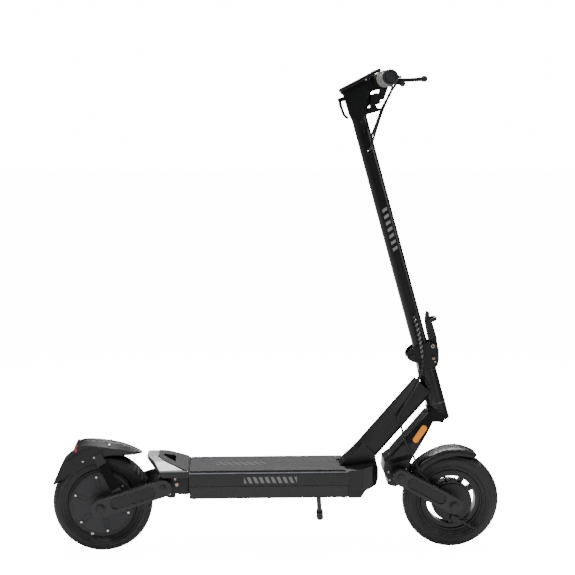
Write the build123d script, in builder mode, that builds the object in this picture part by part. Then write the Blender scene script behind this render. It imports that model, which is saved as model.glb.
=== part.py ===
"""Electric kick scooter, modelled as the separate pieces it comes apart into.

Millimetres, +X forward, +Y to the rider's left, +Z up.  The side view is drawn from the rear
axle's foot on the ground; save() moves every piece so that the origin is under the middle of the
wheelbase box.  The steering column is drawn in its own plane, COLUMN, where x is forward of the
steering axis and z runs up it from the ground.
"""

from build123d import *
from math import atan2, cos, degrees, radians, sin, tan
import os

os.makedirs("parts", exist_ok=True)

# ---------------------------------------------------------------- driving dimensions
# wheels
WHEELBASE = 899.0
REAR_TYRE_R = 127.5
REAR_TYRE_W = 66.0
FRONT_TYRE_R = 124.0
FRONT_TYRE_W = 60.0
TREAD_FLAT = 30.0  # width of the tyre's level crown
REAR_BEAD_R = 87.0
FRONT_BEAD_R = 79.0
BEAD_GAP = 0.3

# steering column
RAKE = 15.3  # degrees back from upright
STEER_FOOT_X = 963.0  # where the steering axis meets the ground
HEAD_LOW = 388.0  # heights along the steering axis
HEAD_HIGH = 481.0
HEAD_R = 24.5
HEAD_WALL = 4.5
STEERER_R = 14.0
CROWN_LOW = 345.0
FOLD_HEIGHT = 526.0  # plane where the column parts when it folds
FOLD_PIN_X = -31.0
FOLD_PIN_R = 4.0
STEM_DEPTH = 38.0
STEM_WIDTH = 44.0
STEM_WALL = 3.0
STEM_TOP = 1150.0
BAR_X = 74.0
BAR_HEIGHT = 1226.0
BAR_R = 11.0
BAR_HALF = 275.0

# deck
DECK_HALF = 92.0
DECK_TOP = 219.0
DECK_STEP = 181.0
DECK_BOTTOM = 150.0
DECK_REAR = 225.0
DECK_FRONT = 628.0
NOSE_FRONT = 708.0
DECK_WALL = 3.0
MAT_THICK = 2.5
COVER_THICK = 3.0

# suspension
FRONT_PIVOT = (762.0, 199.0)
REAR_PIVOT = (159.0, 178.0)
PIVOT_R = 8.0
ARM_INNER = 70.0
ARM_THICK = 18.0
FRONT_ARM_HALF = 21.5
REAR_ARM_HALF = 23.0
AXLE_R = 6.0
FORK_HALF = 58.0  # half width of the fork at the pivot

# clearances
SLIP = 0.3  # between pieces that move on each other
RUN = 0.05  # radial running clearance of a shaft in its hole

CENTRE_X = (WHEELBASE + FRONT_TYRE_R - REAR_TYRE_R) / 2
FRONT_AXLE = (WHEELBASE, FRONT_TYRE_R)
REAR_AXLE = (0.0, REAR_TYRE_R)
SIDE = Plane.XZ  # its normal points to the rider's right
COLUMN = Plane(
    origin=(STEER_FOOT_X, 0, 0),
    x_dir=(cos(radians(RAKE)), 0, sin(radians(RAKE))),
    z_dir=(-sin(radians(RAKE)), 0, cos(radians(RAKE))),
)
COLUMN_SIDE = Plane(origin=COLUMN.origin, x_dir=COLUMN.x_dir, z_dir=(0, -1, 0))


def on_column(x, height, y=0.0):
    """A point of the steering column in the side view's axes."""
    return COLUMN.from_local_coords(Vector(x, y, height))


# ---------------------------------------------------------------- shared shapes
def prism(points, near, far, plane=SIDE, mode=Mode.ADD, soften=0.0):
    """Extrudes a side outline from `near` to `far`, measured to the rider's right."""
    with BuildSketch(plane.offset(near)) as profile:
        with BuildLine():
            Polyline(*points, close=True)
        make_face()
        if soften:
            fillet(profile.vertices(), soften)
    extrude(profile.sketch, amount=far - near, mode=mode)


def disc(centre, radius, near, far, plane=SIDE, mode=Mode.ADD):
    """A round boss or hole across the scooter, from `near` to `far`."""
    with BuildSketch(plane.offset(near)) as profile:
        with Locations(centre):
            Circle(radius)
    extrude(profile.sketch, amount=far - near, mode=mode)


def block(low, high, mode=Mode.ADD, edge=0.0):
    """A box between two corners given as (x, y, z)."""
    made = Solid.make_box(*[b - a for a, b in zip(low, high)], Plane(low))
    if edge:
        made = made.fillet(edge, made.edges())
    add(made, mode=mode)


def arm_outline(start, end, r_start, r_end):
    """The outer tangent hull of two circles, as a face in the current sketch."""
    with Locations(start):
        Circle(r_start)
    with Locations(end):
        Circle(r_end)
    make_hull()


def screw(plane, radius, length, head_r, head_h, socket=True):
    """A button-head screw: its head stands on the plane and its shank goes below it."""
    with BuildPart() as body:
        with BuildSketch(plane):
            Circle(head_r)
        extrude(amount=head_h)
        top = body.faces().sort_by(Axis(plane.origin, plane.z_dir))[-1]
        fillet(top.edges(), head_h * 0.45)
        with BuildSketch(plane):
            Circle(radius)
        extrude(amount=-length)
        if socket:
            with BuildSketch(plane.offset(head_h)):
                RegularPolygon(head_r * 0.42, 6)
            extrude(amount=-head_h * 0.6, mode=Mode.SUBTRACT)
    return body.part


def mirrored(part):
    """The same piece on the other side of the scooter."""
    return part.mirror(Plane.XZ)


def pair(part):
    """A piece and its mirror image, kept as separate solids."""
    return Compound([*part.solids(), *mirrored(part).solids()])


def save(part, name):
    """Moves a finished piece to the part's frame and writes it."""
    placed = Compound(part.solids()).moved(Location((-CENTRE_X, 0, 0)))
    placed.label = name
    export_step(placed, f"parts/{name}.step")
    print(name, len(placed.solids()), round(placed.volume))


# ================================================================ frame: deck
with BuildPart() as deck_frame:
    with BuildSketch(Plane.YZ.offset(DECK_REAR)):
        with BuildLine():
            Polyline(
                (-DECK_HALF, DECK_TOP - 6),
                (-DECK_HALF + 3, DECK_TOP - 1),
                (-DECK_HALF + 7, DECK_TOP),
                (DECK_HALF - 7, DECK_TOP),
                (DECK_HALF - 3, DECK_TOP - 1),
                (DECK_HALF, DECK_TOP - 6),
                (DECK_HALF, DECK_STEP + 3),
                (DECK_HALF - 4, DECK_STEP),
                (DECK_HALF - 6, DECK_BOTTOM + COVER_THICK),
                (6 - DECK_HALF, DECK_BOTTOM + COVER_THICK),
                (4 - DECK_HALF, DECK_STEP),
                (-DECK_HALF, DECK_STEP + 3),
                close=True,
            )
        make_face()
    extrude(amount=DECK_FRONT - DECK_REAR)
    cavity_low = (DECK_REAR + 4, 9 - DECK_HALF, DECK_BOTTOM)
    cavity_high = (DECK_FRONT - 4, DECK_HALF - 9, DECK_TOP - DECK_WALL)
    block(cavity_low, cavity_high, mode=Mode.SUBTRACT)
    screw_spots = [
        (x, side * (DECK_HALF - 14))
        for x in (DECK_REAR + 12, (DECK_REAR + DECK_FRONT) / 2, DECK_FRONT - 12)
        for side in (-1, 1)
    ]
    with BuildSketch(Plane.XY.offset(DECK_BOTTOM + COVER_THICK)):
        with Locations(*screw_spots):
            Rectangle(14, 14)
    extrude(amount=DECK_TOP - DECK_WALL - DECK_BOTTOM - COVER_THICK)
    with BuildSketch(Plane.XY.offset(DECK_BOTTOM + COVER_THICK)):
        with Locations(*screw_spots):
            Circle(2.0)
    extrude(amount=12, mode=Mode.SUBTRACT)
    # charging socket in the left wall
    charge_spot = (DECK_FRONT - 50, (DECK_TOP + DECK_STEP) / 2 - 1)
    disc(charge_spot, 7.0, 0, -2 * DECK_HALF, mode=Mode.SUBTRACT)
    disc(charge_spot, 10.0, 14 - DECK_HALF, 9 - DECK_HALF)
save(deck_frame.part, "deck_frame")

MAT_HALF = DECK_HALF - 8
with BuildPart() as deck_mat:
    with BuildSketch(Plane.XY.offset(DECK_TOP)):
        with BuildLine():
            Polyline(
                (DECK_REAR + 1, -MAT_HALF),
                (DECK_FRONT - 6, -MAT_HALF),
                (DECK_FRONT - 6, -48),
                (DECK_FRONT - 24, -38),
                (DECK_FRONT - 24, 38),
                (DECK_FRONT - 6, 48),
                (DECK_FRONT - 6, MAT_HALF),
                (DECK_REAR + 1, MAT_HALF),
                close=True,
            )
        mat_face = make_face()
        fillet(mat_face.vertices(), 4)
    extrude(amount=MAT_THICK)
save(deck_mat.part, "deck_mat")

with BuildPart() as battery_cover:
    block(
        (DECK_REAR + 1, 7 - DECK_HALF, DECK_BOTTOM),
        (DECK_FRONT - 1, DECK_HALF - 7, DECK_BOTTOM + COVER_THICK),
    )
    for x in range(3):
        left = DECK_REAR + 60 + 110 * x
        block((left, -40, DECK_BOTTOM - 1), (left + 60, 40, DECK_BOTTOM + 1), mode=Mode.SUBTRACT)
    with BuildSketch(Plane.XY.offset(DECK_BOTTOM)):
        with Locations(*screw_spots):
            Circle(2.0)
    extrude(amount=COVER_THICK, mode=Mode.SUBTRACT)
save(battery_cover.part, "battery_cover")

under = Plane(origin=(0, 0, DECK_BOTTOM), x_dir=(1, 0, 0), z_dir=(0, 0, -1))
cover_screw = screw(under, 2.0, 10, 4.5, 2.2)
save(Compound([s for x, y in screw_spots for s in cover_screw.moved(Location((x, y, 0))).solids()]),
     "frame_screws")

# ================================================================ frame: neck and nose
NOSE_TOP = 229.0
NECK_ANGLE = 48.6
NECK_DEEP = 56.0
NECK_HALF = 26.0
NOSE_PLAN = [
    (DECK_FRONT, DECK_HALF),
    (DECK_FRONT + 38, DECK_HALF - 2),
    (DECK_FRONT + 62, DECK_HALF - 14),
    (DECK_FRONT + 76, DECK_HALF - 32),
    (NOSE_FRONT, DECK_HALF - 50),
]
NECK_CLIP = Vector(757, -NECK_HALF, 345)
with BuildPart() as neck_frame:
    prism(
        [
            (DECK_FRONT, DECK_TOP),
            (DECK_FRONT + 18, DECK_TOP + 2),
            (DECK_FRONT + 70, NOSE_TOP),
            (NOSE_FRONT - 3, NOSE_TOP - 3),
            (NOSE_FRONT, NOSE_TOP - 16),
            (NOSE_FRONT, 190),
            (NOSE_FRONT - 8, 177),
            (DECK_FRONT + 44, 167),
            (DECK_FRONT + 32, DECK_BOTTOM),
            (DECK_FRONT, DECK_BOTTOM),
        ],
        -DECK_HALF,
        DECK_HALF,
    )
    with BuildSketch(Plane.XY.offset(140)):
        with BuildLine():
            Polyline(*NOSE_PLAN, *[(x, -y) for x, y in reversed(NOSE_PLAN)], close=True)
        make_face()
    extrude(amount=100, mode=Mode.INTERSECT)
    # the foot of the neck, then the neck itself along its own slope
    prism(
        [(611, DECK_TOP), (622, 234), (640, 250), (668, 278), (700, 250), (705, 226), (700, 212)],
        -34,
        34,
    )
    block((600, -40, 200), (DECK_FRONT, 40, DECK_TOP), mode=Mode.SUBTRACT)
    neck_plane = Plane(
        origin=(702, 0, 240),
        x_dir=(-sin(radians(NECK_ANGLE)), 0, cos(radians(NECK_ANGLE))),
        z_dir=(cos(radians(NECK_ANGLE)), 0, sin(radians(NECK_ANGLE))),
    )
    with BuildSketch(neck_plane.offset(-12)):
        with BuildLine():
            Polyline(
                (0, -NECK_HALF + 7),
                (7, -NECK_HALF),
                (39, -NECK_HALF),
                (NECK_DEEP, -NECK_HALF + 14),
                (NECK_DEEP, NECK_HALF - 14),
                (39, NECK_HALF),
                (7, NECK_HALF),
                (0, NECK_HALF - 7),
                close=True,
            )
        make_face()
    extrude(amount=232)
    prism([(0, 330), (80, 330), (80, 540), (0, 540)], -40, 40, plane=COLUMN_SIDE, mode=Mode.SUBTRACT)
    prism([(-40, HEAD_HIGH), (40, HEAD_HIGH), (40, 540), (-40, 540)],
          -40, 40, plane=COLUMN_SIDE, mode=Mode.SUBTRACT)
    with BuildSketch(COLUMN.offset(HEAD_LOW)):
        Circle(HEAD_R)
    extrude(amount=HEAD_HIGH - HEAD_LOW)
    with BuildSketch(COLUMN.offset(HEAD_LOW)):
        Circle(HEAD_R - HEAD_WALL)
    extrude(amount=HEAD_HIGH - HEAD_LOW, mode=Mode.SUBTRACT)
    # clip for the cables on the neck's right side
    block((NECK_CLIP.X - 5, -NECK_HALF - 1.6, NECK_CLIP.Z - 8), (NECK_CLIP.X + 7, -NECK_HALF + 1, NECK_CLIP.Z + 6))
save(neck_frame.part, "neck_frame")

BEARING_TALL = 9.0
with BuildPart() as head_bearings:
    for low in (HEAD_LOW, HEAD_HIGH - BEARING_TALL):
        with BuildSketch(COLUMN.offset(low)):
            Circle(HEAD_R - HEAD_WALL)
            Circle(STEERER_R + RUN, mode=Mode.SUBTRACT)
        extrude(amount=BEARING_TALL)
save(head_bearings.part, "head_bearings")

# ================================================================ frame: rear end
with BuildPart() as rear_bracket:
    prism(
        [
            (DECK_REAR, DECK_BOTTOM + 7),
            (DECK_REAR, 206),
            (152, 206),
            (141, 190),
            (141, 168),
            (150, 158),
            (172, 147),
            (187, 147),
            (190, DECK_BOTTOM + 7),
        ],
        -58,
        58,
    )
    prism([(178, 160), (218, 160), (218, 198), (178, 198)], -50, 50, mode=Mode.SUBTRACT)
    disc(REAR_PIVOT, PIVOT_R + RUN, -58, 58, mode=Mode.SUBTRACT)
save(rear_bracket.part, "rear_bracket")

# the kick plate is a ramp that narrows to a tip; a bevel on each side falls to the deck's edge
RAMP_FOOT = (221.0, DECK_TOP + 2.5)
RAMP_HEAD = (143.0, 250.5)
RAMP_HALF = [(143.0, 38.0), (163.0, 66.0), (207.0, 89.0)]  # half width of the ramp along x
TIP_X = 115.5
KICK_HALF = 90.0
HOOK_HOLE = [(158.0, 13.0), (185.0, 34.0), (189.0, 30.0)]  # half of the opening for the folding hook


def ramp_z(x):
    """Height of the ramp at x."""
    share = (x - RAMP_FOOT[0]) / (RAMP_HEAD[0] - RAMP_FOOT[0])
    return RAMP_FOOT[1] + share * (RAMP_HEAD[1] - RAMP_FOOT[1])


def both_halves(half_outline):
    """Mirrors a half outline given as (x, y) across the middle plane."""
    return [*half_outline, *[(x, -y) for x, y in reversed(half_outline)]]


def plan_cut(half_outline, low, high, mode):
    """Extrudes a plan outline, given by its half, between two heights."""
    with BuildSketch(Plane.XY.offset(low)) as plan:
        with BuildLine():
            Polyline(*both_halves(half_outline), close=True)
        make_face()
    extrude(plan.sketch, amount=high - low, mode=mode)


edge_points = [Vector(x, y, ramp_z(x)) for x, y in RAMP_HALF]
bevel_corners = [
    (Vector(118.5, 36, 251), edge_points[0], edge_points[1]),
    (edge_points[1], edge_points[2], Vector(150, KICK_HALF, 224)),
]
with BuildPart() as kick_plate:
    prism(
        [
            (DECK_REAR, 206),
            (DECK_REAR, DECK_TOP),
            RAMP_FOOT,
            RAMP_HEAD,
            (119, 251),
            (TIP_X, 248.5),
            (TIP_X, 245),
            (152, 212),
            (157, 206),
        ],
        -KICK_HALF,
        KICK_HALF,
    )
    plan_cut([(TIP_X, 24), (117, 31), (120.5, 37), (150, KICK_HALF), (DECK_REAR, KICK_HALF)],
             200, 280, Mode.INTERSECT)
    for first, second, third in bevel_corners:
        for side in (-1, 1):
            corners = [Vector(v.X, side * v.Y, v.Z) for v in (first, second, third)]
            across = (corners[1] - corners[0]).cross(corners[2] - corners[0]).normalized()
            if across.Z < 0:
                across = -across
            with BuildSketch(Plane(origin=corners[0], x_dir=(1, 0, -across.X / across.Z), z_dir=across)) as face:
                Rectangle(500, 500)
            extrude(face.sketch, amount=90, mode=Mode.SUBTRACT)
    plan_cut(HOOK_HOLE, 196, 290, Mode.SUBTRACT)
    for side in (-1, 1):
        prism([(166, 200), (216, 200), (216, 213), (168, 231), (152, 231), (152, 218)],
              side * 42, side * 68, mode=Mode.SUBTRACT)
save(kick_plate.part, "kick_plate")

with BuildPart() as kick_pad:
    pad_plan = [(146, 35.5), (164, 62), (176, 70), (192, 78.5), (207, 85.5), (220, 87)]
    prism([RAMP_FOOT, RAMP_HEAD, (RAMP_HEAD[0] + 0.8, RAMP_HEAD[1] + 2), (RAMP_FOOT[0] + 0.8, RAMP_FOOT[1] + 2)],
          -KICK_HALF, KICK_HALF)
    plan_cut(pad_plan, 200, 280, Mode.INTERSECT)
    plan_cut(HOOK_HOLE, 196, 290, Mode.SUBTRACT)
save(kick_pad.part, "kick_pad")

# ================================================================ kickstand
STAND_PIVOT = Vector(560, DECK_HALF - 7, 138)
STAND_AXIS = Vector(0, cos(radians(30)), sin(radians(30)))
STAND_REACH = Vector(10, 83, -109)
STAND = Plane(origin=STAND_PIVOT, x_dir=(1, 0, 0), z_dir=STAND_AXIS)
STAND_R = 6.5
with BuildPart() as kickstand_bracket:
    prism([(540, 120), (580, 120), (580, DECK_BOTTOM), (540, DECK_BOTTOM)], -DECK_HALF - 4, 34 - DECK_HALF)
    with BuildSketch(STAND):
        Rectangle(100, 100)
    extrude(amount=60, mode=Mode.SUBTRACT)
    with BuildSketch(STAND):
        Circle(4.0)
    extrude(amount=15)
    with BuildSketch(STAND.offset(14 + SLIP)):
        Circle(7.5)
    extrude(amount=3)
    prism([(532, DECK_BOTTOM - 4), (588, DECK_BOTTOM - 4), (588, DECK_BOTTOM), (532, DECK_BOTTOM)],
          12 - DECK_HALF, 52 - DECK_HALF)
save(kickstand_bracket.part, "kickstand_bracket")

with BuildPart() as kickstand_leg:
    with BuildSketch(STAND.offset(SLIP)):
        Circle(9.5)
    extrude(amount=13.7)
    leg_start = STAND_PIVOT + STAND_AXIS * 7
    leg_end = STAND_PIVOT + STAND_REACH
    leg_plane = Plane(origin=leg_start, z_dir=leg_end - leg_start)
    with BuildSketch(leg_plane.offset(9)):
        Circle(STAND_R)
    extrude(amount=(leg_end - leg_start).length - 19)
    with BuildSketch(STAND):
        Circle(4.0 + RUN)
    extrude(amount=20, mode=Mode.SUBTRACT)
save(kickstand_leg.part, "kickstand_leg")

with BuildPart() as kickstand_foot:
    with BuildSketch(leg_plane.offset((leg_end - leg_start).length - 32)):
        Circle(STAND_R + 3)
    extrude(amount=32)
    fillet(kickstand_foot.edges(), 2.5)
    with BuildSketch(leg_plane.offset(9)):
        Circle(STAND_R)
    extrude(amount=(leg_end - leg_start).length - 19, mode=Mode.SUBTRACT)
save(kickstand_foot.part, "kickstand_foot")

# ================================================================ steering: fork
FORK_COVER_SIDE = [(838, 356), (742, 245), (739.7, 247), (835.7, 358)]
with BuildPart() as fork:
    prism(
        [
            (833, 372),
            (838, 356),
            (742, 245),
            (724, 233),
            (722, 203),
            (731, 188),
            (733, 171),
            (752, 166),
            (773, 176),
            (785, 200),
            (789, 228),
            (798, 246),
            (850, 335),
            (874, 331),
            (885, 352),
        ],
        -50,
        50,
    )
    fork_front = Plane(origin=COLUMN.origin, x_dir=(0, 1, 0), z_dir=COLUMN.x_dir)
    with BuildSketch(fork_front.offset(-260)):
        with BuildLine():
            fork_edge = [(22, 392), (26, 376), (36, 356), (48, 330), (50, 316), (50, 290), (44, 276), (44, 200)]
            Polyline(*fork_edge, *[(-y, h) for y, h in reversed(fork_edge)], close=True)
        make_face()
    extrude(amount=300, mode=Mode.INTERSECT)
    with BuildSketch(COLUMN.offset(CROWN_LOW)):
        Circle(HEAD_R)
    extrude(amount=HEAD_LOW - SLIP - CROWN_LOW)
    prism([(-60, HEAD_LOW - SLIP), (60, HEAD_LOW - SLIP), (60, 430), (-60, 430)],
          -60, 60, plane=COLUMN_SIDE, mode=Mode.SUBTRACT)
    with BuildSketch(COLUMN.offset(CROWN_LOW)):
        Circle(STEERER_R)
    extrude(amount=FOLD_HEIGHT - 8 - CROWN_LOW)
    # hollow back, closed by the fork cover
    prism([(824, 345), (745, 254), (737, 246), (752, 232), (766, 240), (842, 326)],
          -25, 25, mode=Mode.SUBTRACT)
    disc(FRONT_PIVOT, PIVOT_R + 2 + RUN, -60, 60, mode=Mode.SUBTRACT)
    prism(FORK_COVER_SIDE, -31, 31, mode=Mode.SUBTRACT)
save(fork.part, "fork")

with BuildPart() as fork_cover:
    prism(FORK_COVER_SIDE, -31, 31)
save(fork_cover.part, "fork_cover")

REFLECTOR_THICK = 3.0
with BuildPart() as reflector:
    reflector_top = Vector(828, 0, 325)
    reflector_low = Vector(799, 0, 284)
    with BuildSketch(SIDE.offset(50)):
        with Locations(((reflector_top.X + reflector_low.X) / 2, (reflector_top.Z + reflector_low.Z) / 2)):
            SlotCenterToCenter(
                (reflector_top - reflector_low).length - 14,
                15,
                rotation=degrees(atan2(reflector_top.Z - reflector_low.Z, reflector_top.X - reflector_low.X)),
            )
    extrude(amount=REFLECTOR_THICK)
save(pair(reflector.part), "fork_reflectors")

# ================================================================ steering: folding joint
CHEEK_IN = STEM_WIDTH / 2 + 2.3
CHEEK_OUT = 31.0
LATCH_PIVOT = (29.0, 540.0)
FOLD_PIVOT = (FOLD_PIN_X, FOLD_HEIGHT)
with BuildPart() as fold_base:
    prism(
        [
            (-20, FOLD_HEIGHT - 1),
            (-20, 508),
            (-22, 487),
            (27, 487),
            (35, 503),
            (37, FOLD_HEIGHT - 1),
        ],
        -CHEEK_OUT,
        CHEEK_OUT,
        plane=COLUMN_SIDE,
    )
    for side in (-1, 1):
        prism(
            [
                (-22, 487),
                (-20, 508),
                (-34, 515),
                (-42, 524),
                (-42, 534),
                (-36, 541),
                (-22, 549),
                (6, 553),
                (32, 549),
                (40, 540),
                (41, 528),
                (35, 503),
                (27, 487),
            ],
            side * CHEEK_IN,
            side * CHEEK_OUT,
            plane=COLUMN_SIDE,
        )
    with BuildSketch(COLUMN.offset(HEAD_HIGH + SLIP)):
        Circle(HEAD_R)
    extrude(amount=487 - HEAD_HIGH - SLIP)
    with BuildSketch(COLUMN.offset(HEAD_HIGH)):
        Circle(STEERER_R)
    extrude(amount=FOLD_HEIGHT - 8 - HEAD_HIGH, mode=Mode.SUBTRACT)
    for spot in (FOLD_PIVOT, LATCH_PIVOT):
        disc(spot, FOLD_PIN_R, -40, 40, plane=COLUMN_SIDE, mode=Mode.SUBTRACT)
    disc((22, 511), 5.5, CHEEK_OUT, CHEEK_OUT + 2, plane=COLUMN_SIDE)
    # clip for the wrapped cable
    prism([(-12, 512), (0, 512), (0, 520), (-12, 520)], CHEEK_OUT, CHEEK_OUT + 1.6, plane=COLUMN_SIDE)
save(fold_base.part, "fold_base")

with BuildPart() as fold_bolts:
    for spot in (FOLD_PIVOT, LATCH_PIVOT):
        disc(spot, FOLD_PIN_R, -CHEEK_OUT, CHEEK_OUT, plane=COLUMN_SIDE)
        for side in (-1, 1):
            disc(spot, 6.8, side * CHEEK_OUT, side * (CHEEK_OUT + 3), plane=COLUMN_SIDE)
            with BuildSketch(COLUMN_SIDE.offset(side * (CHEEK_OUT + 3))):
                with Locations(spot):
                    RegularPolygon(3, 6)
            extrude(amount=-side * 2, mode=Mode.SUBTRACT)
save(fold_bolts.part, "fold_bolts")

LATCH_HALF = CHEEK_IN - SLIP
with BuildPart() as latch_lever:
    disc(LATCH_PIVOT, 8.0, -LATCH_HALF, LATCH_HALF, plane=COLUMN_SIDE)
    prism(
        [
            (24, 536),
            (25, 568),
            (28, 601),
            (34, 618),
            (40, 627),
            (43, 624),
            (41, 612),
            (44, 594),
            (45, 560),
            (42, 536),
        ],
        -18,
        18,
        plane=COLUMN_SIDE,
    )
    prism([(20, 565), (35, 565), (37, 596), (32, 606), (20, 606)], -12, 12,
          plane=COLUMN_SIDE, mode=Mode.SUBTRACT)
    disc((33, 557), 3.5, -20, 20, plane=COLUMN_SIDE, mode=Mode.SUBTRACT)
    disc((37, 601), 2.5, -20, 20, plane=COLUMN_SIDE, mode=Mode.SUBTRACT)
    disc(LATCH_PIVOT, FOLD_PIN_R + RUN, -30, 30, plane=COLUMN_SIDE, mode=Mode.SUBTRACT)
save(latch_lever.part, "latch_lever")

with BuildPart() as safety_catch:
    disc((37, 601), 2.5 - RUN, -22, 22, plane=COLUMN_SIDE)
    for side in (-1, 1):
        prism([(33, 597), (56, 600), (58, 606), (54, 609), (34, 606)],
              side * (18 + SLIP), side * 22, plane=COLUMN_SIDE)
    prism([(50, 599.3), (56, 600), (58, 606), (54, 609), (50, 608.3)], -20, 20, plane=COLUMN_SIDE)
save(safety_catch.part, "safety_catch")

# ================================================================ stem
STEM_FOOT_TOP = 549.0
with BuildPart() as stem_foot:
    with BuildSketch(COLUMN.offset(FOLD_HEIGHT)):
        RectangleRounded(STEM_DEPTH + 1, STEM_WIDTH + 3, 8)
    extrude(amount=STEM_FOOT_TOP - FOLD_HEIGHT)
    with BuildSketch(COLUMN.offset(STEM_FOOT_TOP)):
        RectangleRounded(STEM_DEPTH - 2 * STEM_WALL, STEM_WIDTH - 2 * STEM_WALL, 5)
    extrude(amount=26)
    prism([(-24, 530), (-18, 530), (-18, 545), (-27, 540), (-38, 533)], -16, 16, plane=COLUMN_SIDE)
    disc(FOLD_PIVOT, 10.0, -20, 20, plane=COLUMN_SIDE)
    prism([(-21, 500), (50, 500), (50, FOLD_HEIGHT), (-21, FOLD_HEIGHT)], -40, 40,
          plane=COLUMN_SIDE, mode=Mode.SUBTRACT)
    disc(FOLD_PIVOT, FOLD_PIN_R + RUN, -40, 40, plane=COLUMN_SIDE, mode=Mode.SUBTRACT)
    disc(LATCH_PIVOT, 8.0 + SLIP, -40, 40, plane=COLUMN_SIDE, mode=Mode.SUBTRACT)
save(stem_foot.part, "stem_foot")

CABLE_HOLE = (2.5, 624.0)
with BuildPart() as stem_tube:
    with BuildSketch(COLUMN.offset(STEM_FOOT_TOP)):
        RectangleRounded(STEM_DEPTH, STEM_WIDTH, 12)
        RectangleRounded(STEM_DEPTH - 2 * STEM_WALL, STEM_WIDTH - 2 * STEM_WALL, 5, mode=Mode.SUBTRACT)
    extrude(amount=STEM_TOP - STEM_FOOT_TOP)
    with BuildSketch(COLUMN_SIDE.offset(0)):
        with Locations(CABLE_HOLE):
            SlotCenterToCenter(14, 9, rotation=90)
    extrude(amount=60, mode=Mode.SUBTRACT)
    disc((1.5, 1062), 5.2, 0, 60, plane=COLUMN_SIDE, mode=Mode.SUBTRACT)
    disc((1.5, 1066), 5.2, 0, -60, plane=COLUMN_SIDE, mode=Mode.SUBTRACT)
save(stem_tube.part, "stem_tube")

BAR = (BAR_X, BAR_HEIGHT)
HEAD_HALF = 24.0
with BuildPart() as stem_head:
    prism(
        [
            (-30, 1223.5),
            (36, 1237.8),
            (46, 1229),
            (56, 1240),
            (74, 1245),
            (88, 1240),
            (94, 1226),
            (91, 1211),
            (82, 1205),
            (46, 1204),
            (34, 1195),
            (26, 1180),
            (STEM_DEPTH / 2, 1172),
            (STEM_DEPTH / 2, STEM_TOP),
            (-STEM_DEPTH / 2, STEM_TOP),
            (-21, 1160),
            (-23, 1214),
        ],
        -HEAD_HALF,
        HEAD_HALF,
        plane=COLUMN_SIDE,
    )
    with BuildSketch(COLUMN.offset(STEM_TOP)):
        RectangleRounded(STEM_DEPTH - 2 * STEM_WALL, STEM_WIDTH - 2 * STEM_WALL, 5)
    extrude(amount=-30)
    disc(BAR, BAR_R, -60, 60, plane=COLUMN_SIDE, mode=Mode.SUBTRACT)
    # clamp slit in front of the bar, and the relief behind it
    prism([(84, BAR_HEIGHT - 0.8), (100, BAR_HEIGHT - 0.8), (100, BAR_HEIGHT + 0.8), (84, BAR_HEIGHT + 0.8)],
          -40, 40, plane=COLUMN_SIDE, mode=Mode.SUBTRACT)
    for side in (-1, 1):
        disc((-35, 1205), 5.5, side * 3.3, side * 9, plane=COLUMN_SIDE)
        prism([(-35, 1199.5), (-22, 1199.5), (-22, 1210.5), (-35, 1210.5)],
              side * 3.3, side * 9, plane=COLUMN_SIDE)
    disc((-35, 1205), 2.0, -9, 9, plane=COLUMN_SIDE)
save(stem_head.part, "stem_head")

DISPLAY_HALF = 33.0
DISPLAY_BASE = [(-30, 1223.5), (36, 1237.8), (83, 1248)]
display_slope = degrees(atan2(DISPLAY_BASE[1][1] - DISPLAY_BASE[0][1], DISPLAY_BASE[1][0] - DISPLAY_BASE[0][0]))
display_origin = on_column(-30, 1223.5)
display_x = (COLUMN.x_dir * cos(radians(display_slope)) + COLUMN.z_dir * sin(radians(display_slope)))
DISPLAY = Plane(origin=display_origin, x_dir=display_x, z_dir=display_x.cross(Vector(0, 1, 0)))
DISPLAY_LONG = 116.0
DISPLAY_THICK = 8.0
BUTTON_SPOT = (98.0, 0.0)
with BuildPart() as display:
    with BuildSketch(DISPLAY.offset(0.02)):
        with Locations((DISPLAY_LONG / 2, 0)):
            RectangleRounded(DISPLAY_LONG, 2 * DISPLAY_HALF, 12)
    extrude(amount=DISPLAY_THICK)
    chamfer(display.faces().sort_by(Axis.Z)[-1].edges(), 1.6)
    with BuildSketch(DISPLAY.offset(DISPLAY_THICK - 1.2)):
        with Locations((50, 0)):
            RectangleRounded(76, 50, 6)
    extrude(amount=5, mode=Mode.SUBTRACT)
    with BuildSketch(DISPLAY.offset(DISPLAY_THICK - 4)):
        with Locations(BUTTON_SPOT):
            Circle(7.0)
    extrude(amount=10, mode=Mode.SUBTRACT)
save(display.part, "display")

with BuildPart() as display_lens:
    with BuildSketch(DISPLAY.offset(DISPLAY_THICK - 1.2)):
        with Locations((50, 0)):
            RectangleRounded(76, 50, 6)
    extrude(amount=1.2)
save(display_lens.part, "display_lens")

BUTTON_TRAVEL = 1.0
with BuildPart() as power_button:
    with BuildSketch(DISPLAY.offset(DISPLAY_THICK - 4 + BUTTON_TRAVEL + 0.1)):
        with Locations(BUTTON_SPOT):
            Circle(6.95)
    extrude(amount=4.2)
    fillet(power_button.edges(), 0.5)
save(power_button.part, "power_button")

with BuildPart() as handlebar:
    disc(BAR, BAR_R, 5 - BAR_HALF, BAR_HALF - 5, plane=COLUMN_SIDE)
    disc(BAR, BAR_R - 2.5, 5 - BAR_HALF, BAR_HALF - 5, plane=COLUMN_SIDE, mode=Mode.SUBTRACT)
save(handlebar.part, "handlebar")

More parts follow.
